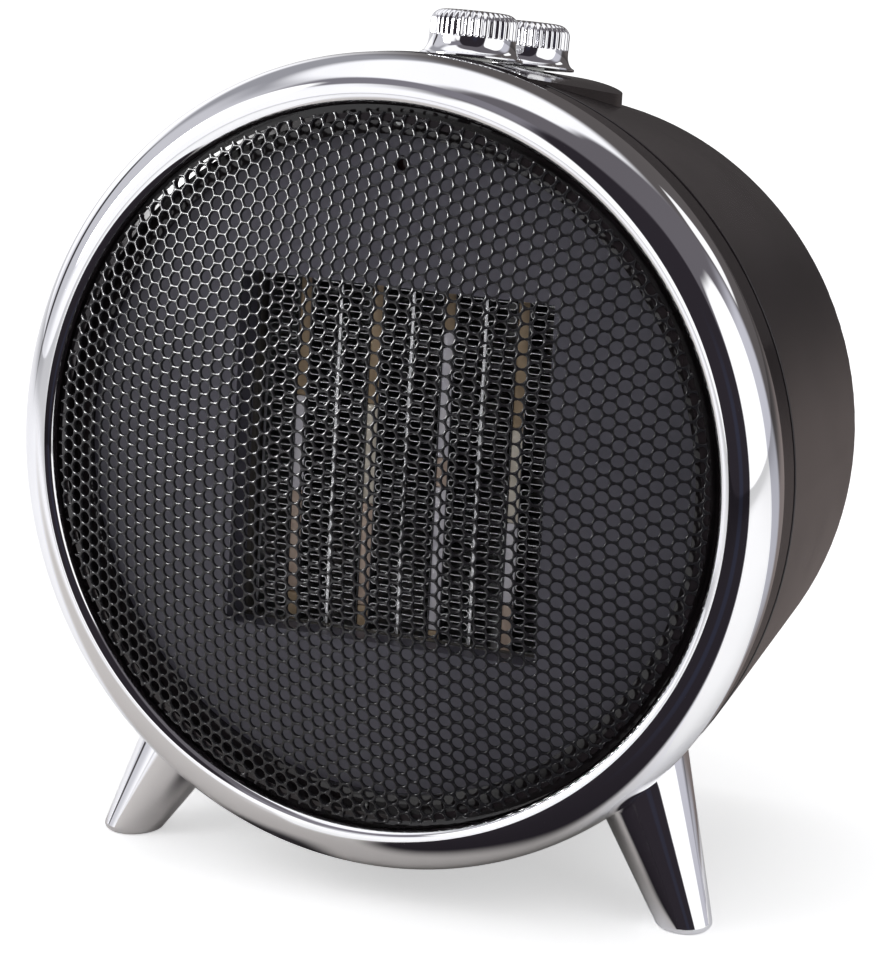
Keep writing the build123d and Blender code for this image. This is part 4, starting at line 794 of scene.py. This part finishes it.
array(grille, 2, (COLUMN_STEP, 0, PITCH / 2))
array(grille, PAIRS_ACROSS, (2 * COLUMN_STEP, 0, 0))
array(grille, ROWS, (0, 0, PITCH))
open_mesh(grille)
bpy.ops.mesh.remove_doubles(threshold=MERGE_GAP)
bpy.ops.mesh.select_all(action="DESELECT")
bpy.ops.mesh.select_non_manifold(extend=False, use_wire=False, use_multi_face=False,
                                 use_non_contiguous=False, use_verts=False)
bpy.ops.mesh.bridge_edge_loops()
bpy.ops.mesh.select_all(action="SELECT")
middle_shift = Vector((-(PAIRS_ACROSS // 2) * 2 * COLUMN_STEP, 0, -(ROWS // 2) * PITCH))
bpy.ops.transform.translate(value=(middle_shift + PATTERN_SHIFT) * MM)
bpy.ops.transform.rotate(value=math.radians(-PATTERN_TURN), orient_axis="Y",
                         center_override=(0, 0, 0))
close_mesh()
print("faces in the sheet:", len(grille.data.polygons))

# %% [markdown]
# The blank is cut with a boolean, then pressed. Pressing is a proportional move: one
# point at the centre is pulled forward, and the points around it follow less and less.
# The inverse square falloff gives a parabola, which at this rise is a dome. First the
# back of the sheet shrinks a little, so that the holes stay square to the domed sheet.

# %% Cut the blank and press the dome
BLANK_SIDES = 360
BLANK_HEIGHT = 20

bpy.ops.object.select_all(action="DESELECT")
bpy.ops.mesh.primitive_cylinder_add(vertices=BLANK_SIDES, radius=BLANK_RADIUS * MM,
                                    depth=BLANK_HEIGHT * MM, rotation=(math.radians(90), 0, 0))
blank = bpy.context.object
only(blank)
bpy.ops.object.transform_apply(location=True, rotation=True, scale=True)
finish_with(grille, "BOOLEAN", operation="INTERSECT", object=blank, solver="MANIFOLD")
bpy.data.objects.remove(blank)

DOME_SLOPE = 2 * DOME_RISE / BLANK_RADIUS**2
open_mesh(grille)
pick(grille, lambda place: place.y > SHEET * MM / 2)
back_scale = 1 - DOME_SLOPE * SHEET
bpy.ops.transform.resize(value=(back_scale, 1, back_scale), center_override=(0, 0, 0))
bpy.ops.mesh.select_all(action="DESELECT")
bpy.ops.mesh.primitive_plane_add(size=MM, location=(0, 0, 0))
bpy.ops.mesh.merge(type="CENTER")
bpy.ops.transform.translate(
    value=(0, -DOME_RISE * MM, 0), use_proportional_edit=True,
    proportional_edit_falloff="INVERSE_SQUARE", proportional_size=BLANK_RADIUS * MM)
bpy.ops.mesh.delete(type="VERT")
bpy.ops.mesh.select_all(action="SELECT")
bpy.ops.transform.translate(value=(0, DOME_EDGE * MM, 0))
bpy.ops.mesh.quads_convert_to_tris()
bpy.ops.object.mode_set(mode="OBJECT")
smooth(grille, 60)
settle(grille)
stand_for(grille, FINISHES["black_sheet"], "housing", "black_sheet", "front_grille")

# %% [markdown]
# ## The heating element
# Behind the grille stand four heating strips. Each is a row of ceramic stones between two
# thin electrode plates, and no two stones fire to quite the same shade. Here every stone
# is a bevelled block of its own, so that the joints show. The list gives each strip's
# stones from the bottom up: where each ends, as a share of the height, and its shade.

# %% Mix the ceramic shades
def ceramic(title, colour, second):
    """A fired stone: two shades in clouds and a fine grain."""
    return finish(title, colour, second, 0.5, drift=140.0, bump="grain", bump_scale=2500.0,
                  bump_depth=0.2)


SHADES = {
    "tan": ceramic("tan ceramic", (0.34, 0.25, 0.16), (0.24, 0.17, 0.10)),
    "cream": ceramic("cream ceramic", (0.62, 0.57, 0.50), (0.48, 0.43, 0.36)),
    "grey": ceramic("grey ceramic", (0.60, 0.58, 0.62), (0.50, 0.48, 0.54)),
    "pink": ceramic("pink ceramic", (0.46, 0.36, 0.30), (0.34, 0.25, 0.20)),
}
STONES = [
    [(0.10, "tan"), (0.38, "pink"), (0.64, "grey"), (1.0, "tan")],
    [(0.09, "tan"), (0.37, "pink"), (0.64, "cream"), (1.0, "tan")],
    [(0.05, "tan"), (0.44, "grey"), (0.52, "pink"), (0.86, "grey"), (1.0, "tan")],
    [(0.15, "pink"), (0.37, "grey"), (0.62, "cream"), (1.0, "tan")],
]

# %% Build the ceramic strips
STRIP_WIDTH = 4.4
STRIP_SPACING = 25.0
MIDDLE_STRIP = 2.5
STRIP_HALF = 59.0
HEATER_FRONT = 22.0
HEATER_DEPTH = 16.0
PLATE = 0.3
STONE_SETBACK = 0.3
STONE_GAP = 0.25
STONE_BEVEL = 0.35


def slab(x_span, y_span, z_span):
    """Adds a block by its limits in millimetres, selected in edit mode."""
    spans = (x_span, y_span, z_span)
    bpy.ops.mesh.select_all(action="DESELECT")
    bpy.ops.mesh.primitive_cube_add(size=1, location=[(a + b) / 2 * MM for a, b in spans],
                                    scale=[(b - a) * MM for a, b in spans])


def use_material(piece, material):
    """Puts a material on the faces that are selected."""
    if material.name not in piece.data.materials:
        piece.data.materials.append(material)
    piece.active_material_index = piece.data.materials.find(material.name)
    bpy.ops.object.material_slot_assign()


def ceramic_strip(number, x, stones):
    """One strip: its stones in a row and the electrode plates on both sides."""
    piece = start_empty(f"ceramic_row_{number}")
    half = STRIP_WIDTH / 2 - PLATE
    depth = (HEATER_FRONT + STONE_SETBACK, HEATER_FRONT + HEATER_DEPTH - STONE_SETBACK)
    bottom = -STRIP_HALF
    for share, shade in stones:
        top = (2 * share - 1) * STRIP_HALF
        slab((x - half, x + half), depth, (bottom, top - STONE_GAP))
        bpy.ops.mesh.bevel(offset=STONE_BEVEL * MM, segments=2)
        bpy.ops.mesh.select_linked()
        use_material(piece, SHADES[shade])
        bottom = top
    for side in (-1, 1):
        faces = sorted((x + side * half, x + side * STRIP_WIDTH / 2))
        slab(faces, (HEATER_FRONT, HEATER_FRONT + HEATER_DEPTH), (-STRIP_HALF, STRIP_HALF))
        use_material(piece, FINISHES["electrode"])
    close_mesh()
    smooth(piece)
    settle(piece)
    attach(piece, "housing")
    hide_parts(f"ceramic_strip_{number}")
    return piece


for number, stones in enumerate(STONES, start=1):
    strip = ceramic_strip(number, (number - MIDDLE_STRIP) * STRIP_SPACING, stones)
    print(strip.name, "has", len(stones), "stones")

# %% [markdown]
# Folded aluminium fins carry the heat from the strips to the air. A fin is one long
# ribbon, bent to and fro between a strip and a divider. Its front edge is drawn as a
# line: one wave with round folds, repeated up the strip. The line is shaken a little,
# because ribbon folded this fast is never even, then pushed back and given a thickness.

# %% Fold the fins
RUN_STEP = 2.15
FOLD_STEPS = 5
RIBBON = 0.2
FIN_HALF = 55.9
DIVIDER_HALF = 0.45
SHAKE = 0.16


def fin_wave(low, high):
    """One wave of the ribbon's edge, from one fold at the low side to the next."""
    fold = RUN_STEP / 2
    points = [(high - fold, 0)]
    points += arc((high - fold, fold), (fold, fold), -90, 90, FOLD_STEPS)[1:]
    points += [(low + fold, RUN_STEP)]
    points += [(low + fold - (x - low - fold), z + RUN_STEP)
               for x, z in arc((low + fold, fold), (fold, fold), -90, 90, FOLD_STEPS)[1:]]
    return [(low + fold, 0)] + points


def heater_fin(number, strip_face, divider_face):
    """Folds one fin between a strip's face and a divider's face, given in millimetres."""
    low, high = sorted((strip_face, divider_face))
    low, high = low + RIBBON, high - RIBBON
    points = [Vector((x, HEATER_FRONT, z - FIN_HALF)) * MM for x, z in fin_wave(low, high)]
    piece = one_point(f"folded_fin_{number}", points[0])
    draw_line(points)
    bpy.ops.object.mode_set(mode="OBJECT")
    array(piece, int(FIN_HALF / RUN_STEP), (0, 0, 2 * RUN_STEP))
    open_mesh(piece)
    bpy.ops.transform.vertex_random(offset=SHAKE * MM, seed=number)
    bpy.ops.transform.resize(value=(1, 0, 1), center_override=(0, HEATER_FRONT * MM, 0))
    bpy.ops.mesh.extrude_region_move(
        TRANSFORM_OT_translate={"value": (0, HEATER_DEPTH * MM, 0)})
    close_mesh()
    finish_with(piece, "SOLIDIFY", thickness=RIBBON * MM, offset=0)
    smooth(piece, 50)
    settle(piece)
    stand_for(piece, FINISHES["fin_aluminium"], "housing", "fin_aluminium",
              f"heater_fin_{number}")


for number in range(1, 9):
    strip_x = ((number + 1) // 2 - MIDDLE_STRIP) * STRIP_SPACING
    side = -1 if number % 2 else 1
    heater_fin(number, strip_x + side * STRIP_WIDTH / 2,
               strip_x + side * (STRIP_SPACING / 2 - DIVIDER_HALF))

# %% [markdown]
# ## The knobs
# Two fluted knobs sit on the panel. Each is a turned form with a flared skirt and a
# rounded crown, and forty flutes run up its side and over its shoulder. The form is
# spun with eight divisions to a flute, and each flute is then pressed in by picking
# its lines of vertices and pulling them towards the axis.

# %% Draw a knob's section
FLUTES = 40
FLUTE_STEPS = 8
KNOB_RADIUS = 14.0
KNOB_TOP = 15.4
SKIRT_RADIUS = 16.5
SKIRT_BOTTOM = 0.5
SKIRT_EDGE = 0.9
LOWER_ROUND = 0.3
UPPER_ROUND = 0.25
FLARE = (2.7, 4.75)
FLARE_TOP = 6.1
SIDE_RINGS = (6.5, 6.7, 6.9, 7.15, 7.4, 7.7, 9.0, 10.4)
SHOULDER = (4.2, 3.9)
SHOULDER_DROP = 4.0
CROWN_RINGS = ((7.0, 0.05), (3.5, 0.0), (0, 0.0))
CAVITY_RADIUS = 11.0
CAVITY_TOP = 5.0
STEM_RADIUS = 3.1
STEM_TOP = 12.0


def knob_section():
    """Half of a knob's section as (radius, height), from its hollow to its top."""
    lower = SKIRT_RADIUS - LOWER_ROUND
    section = [(STEM_RADIUS, STEM_TOP), (STEM_RADIUS, CAVITY_TOP), (CAVITY_RADIUS, CAVITY_TOP)]
    section += [(CAVITY_RADIUS, SKIRT_BOTTOM), (lower, SKIRT_BOTTOM)]
    section += arc((lower, SKIRT_BOTTOM + LOWER_ROUND), (LOWER_ROUND, LOWER_ROUND), -60, 0, 2)
    upper = (SKIRT_RADIUS - UPPER_ROUND, SKIRT_BOTTOM + SKIRT_EDGE - UPPER_ROUND)
    section += arc(upper, (UPPER_ROUND, UPPER_ROUND), 0, 60, 2)
    section += arc((KNOB_RADIUS + FLARE[0], FLARE_TOP), FLARE, 254, 180, 9)
    section += [(KNOB_RADIUS, height) for height in SIDE_RINGS]
    section += arc((KNOB_RADIUS - SHOULDER[0], KNOB_TOP - SHOULDER_DROP), SHOULDER, 0, 90, 12)
    section += [(radius, KNOB_TOP - drop) for radius, drop in CROWN_RINGS]
    return section


# %% [markdown]
# A flute is deepest along its middle line and fades out at both ends: just above the
# skirt, and where the shoulder meets the flat crown. Its lines of vertices are numbered
# from the middle out, and each has its own share of the depth.

# %% Press the flutes
FLUTE_BOTTOM = 6.9
FLUTE_RUN_IN = 0.6
CROWN_FLAT = 9.3
CROWN_RUN_OUT = 1.6
FLUTE_DEPTHS = {0: 1.0, 1: 0.80, 2: 0.30}
FLUTE_CUT = 0.62
SAME_HEIGHT = 0.004


def reach_of(place):
    """A vertex's distance from the upright axis, in metres."""
    return math.hypot(place.x, place.y)


def press_depth(place, division):
    """How deep a flute is at a vertex, from 0 at its ends to 1 along its length."""
    start = min(max((place.z / MM - FLUTE_BOTTOM) / FLUTE_RUN_IN, 0), 1)
    end = min(max((reach_of(place) / MM - CROWN_FLAT) / CROWN_RUN_OUT, 0), 1)
    return FLUTE_DEPTHS[division] * math.sqrt(start) * end


def division_of(place):
    """How many divisions a vertex lies from the middle line of its flute."""
    turn_share = math.atan2(place.y, place.x) / (2 * math.pi) * (FLUTES * FLUTE_STEPS)
    offset = round(turn_share) % FLUTE_STEPS
    return min(offset, FLUTE_STEPS - offset)


def press_flutes(piece):
    """Pulls the lines of each flute towards the axis, one ring and one division at a time."""
    rings = sorted({round(v.co.z / MM, 3) for v in piece.data.vertices
                    if v.co.z > FLUTE_BOTTOM * MM and reach_of(v.co) > CROWN_FLAT * MM})
    open_mesh(piece)
    for height in rings:
        for division in FLUTE_DEPTHS:
            pick(piece, lambda place: abs(place.z / MM - height) < SAME_HEIGHT
                 and reach_of(place) > CROWN_FLAT * MM
                 and division_of(place) == division)
            mesh = bmesh.from_edit_mesh(piece.data)
            chosen = [vertex.co.copy() for vertex in mesh.verts if vertex.select]
            if not chosen:
                continue
            scale = 1 - FLUTE_CUT * MM * press_depth(chosen[0], division) / reach_of(chosen[0])
            bpy.ops.transform.resize(value=(scale, scale, 1), center_override=(0, 0, 0))
    close_mesh()


def knob(name):
    """One knob about an upright axis, standing on the panel."""
    piece = turn(name, knob_section(), FLUTES * FLUTE_STEPS, axis=(0, 0, 1))
    press_flutes(piece)
    smooth(piece, 40)
    return piece


# %% [markdown]
# The two knobs are alike, so the second is a copy with a mesh of its own. The panel's top
# falls a little towards the back, and both knobs are tipped to stand square on it.

# %% Stand the knobs on the panel
MODE_STATION = 56.0
KNOB_SPACING = 42.8
PANEL_SLOPE = 0.12
PANEL_FRONT = 19.0
PANEL_RADIUS = 128.58


def knob_place(station):
    """The matrix that takes an upright knob to its seat on the sloping panel."""
    seat = Vector((0, station, PANEL_RADIUS - PANEL_SLOPE * (station - PANEL_FRONT))) * MM
    tilt = Matrix.Rotation(-math.atan(PANEL_SLOPE), 4, "X")
    return drum_place @ Matrix.Translation(seat) @ tilt


def copy_of(piece, name):
    """A copy with a mesh of its own."""
    only(piece)
    bpy.ops.object.duplicate(linked=False)
    twin = bpy.context.object
    twin.name = name
    return twin


front_knob = knob("knob_front")
rear_knob = copy_of(front_knob, "knob_rear")
KNOBS = ((front_knob, MODE_STATION, "mode_control", "mode_knob"),
         (rear_knob, MODE_STATION + KNOB_SPACING, "thermostat_control", "thermostat_knob"))
for piece, station, body, node in KNOBS:
    settle(piece, knob_place(station))
    stand_for(piece, FINISHES["chrome_knob"], body, "chrome_knob", node)
    knob_low, knob_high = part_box(node)
    print(node, "was", [round(v, 4) for v in (*knob_low, *knob_high)])
    print("now", [round(v, 4) for v in (*piece.bound_box[0], *piece.bound_box[6])])
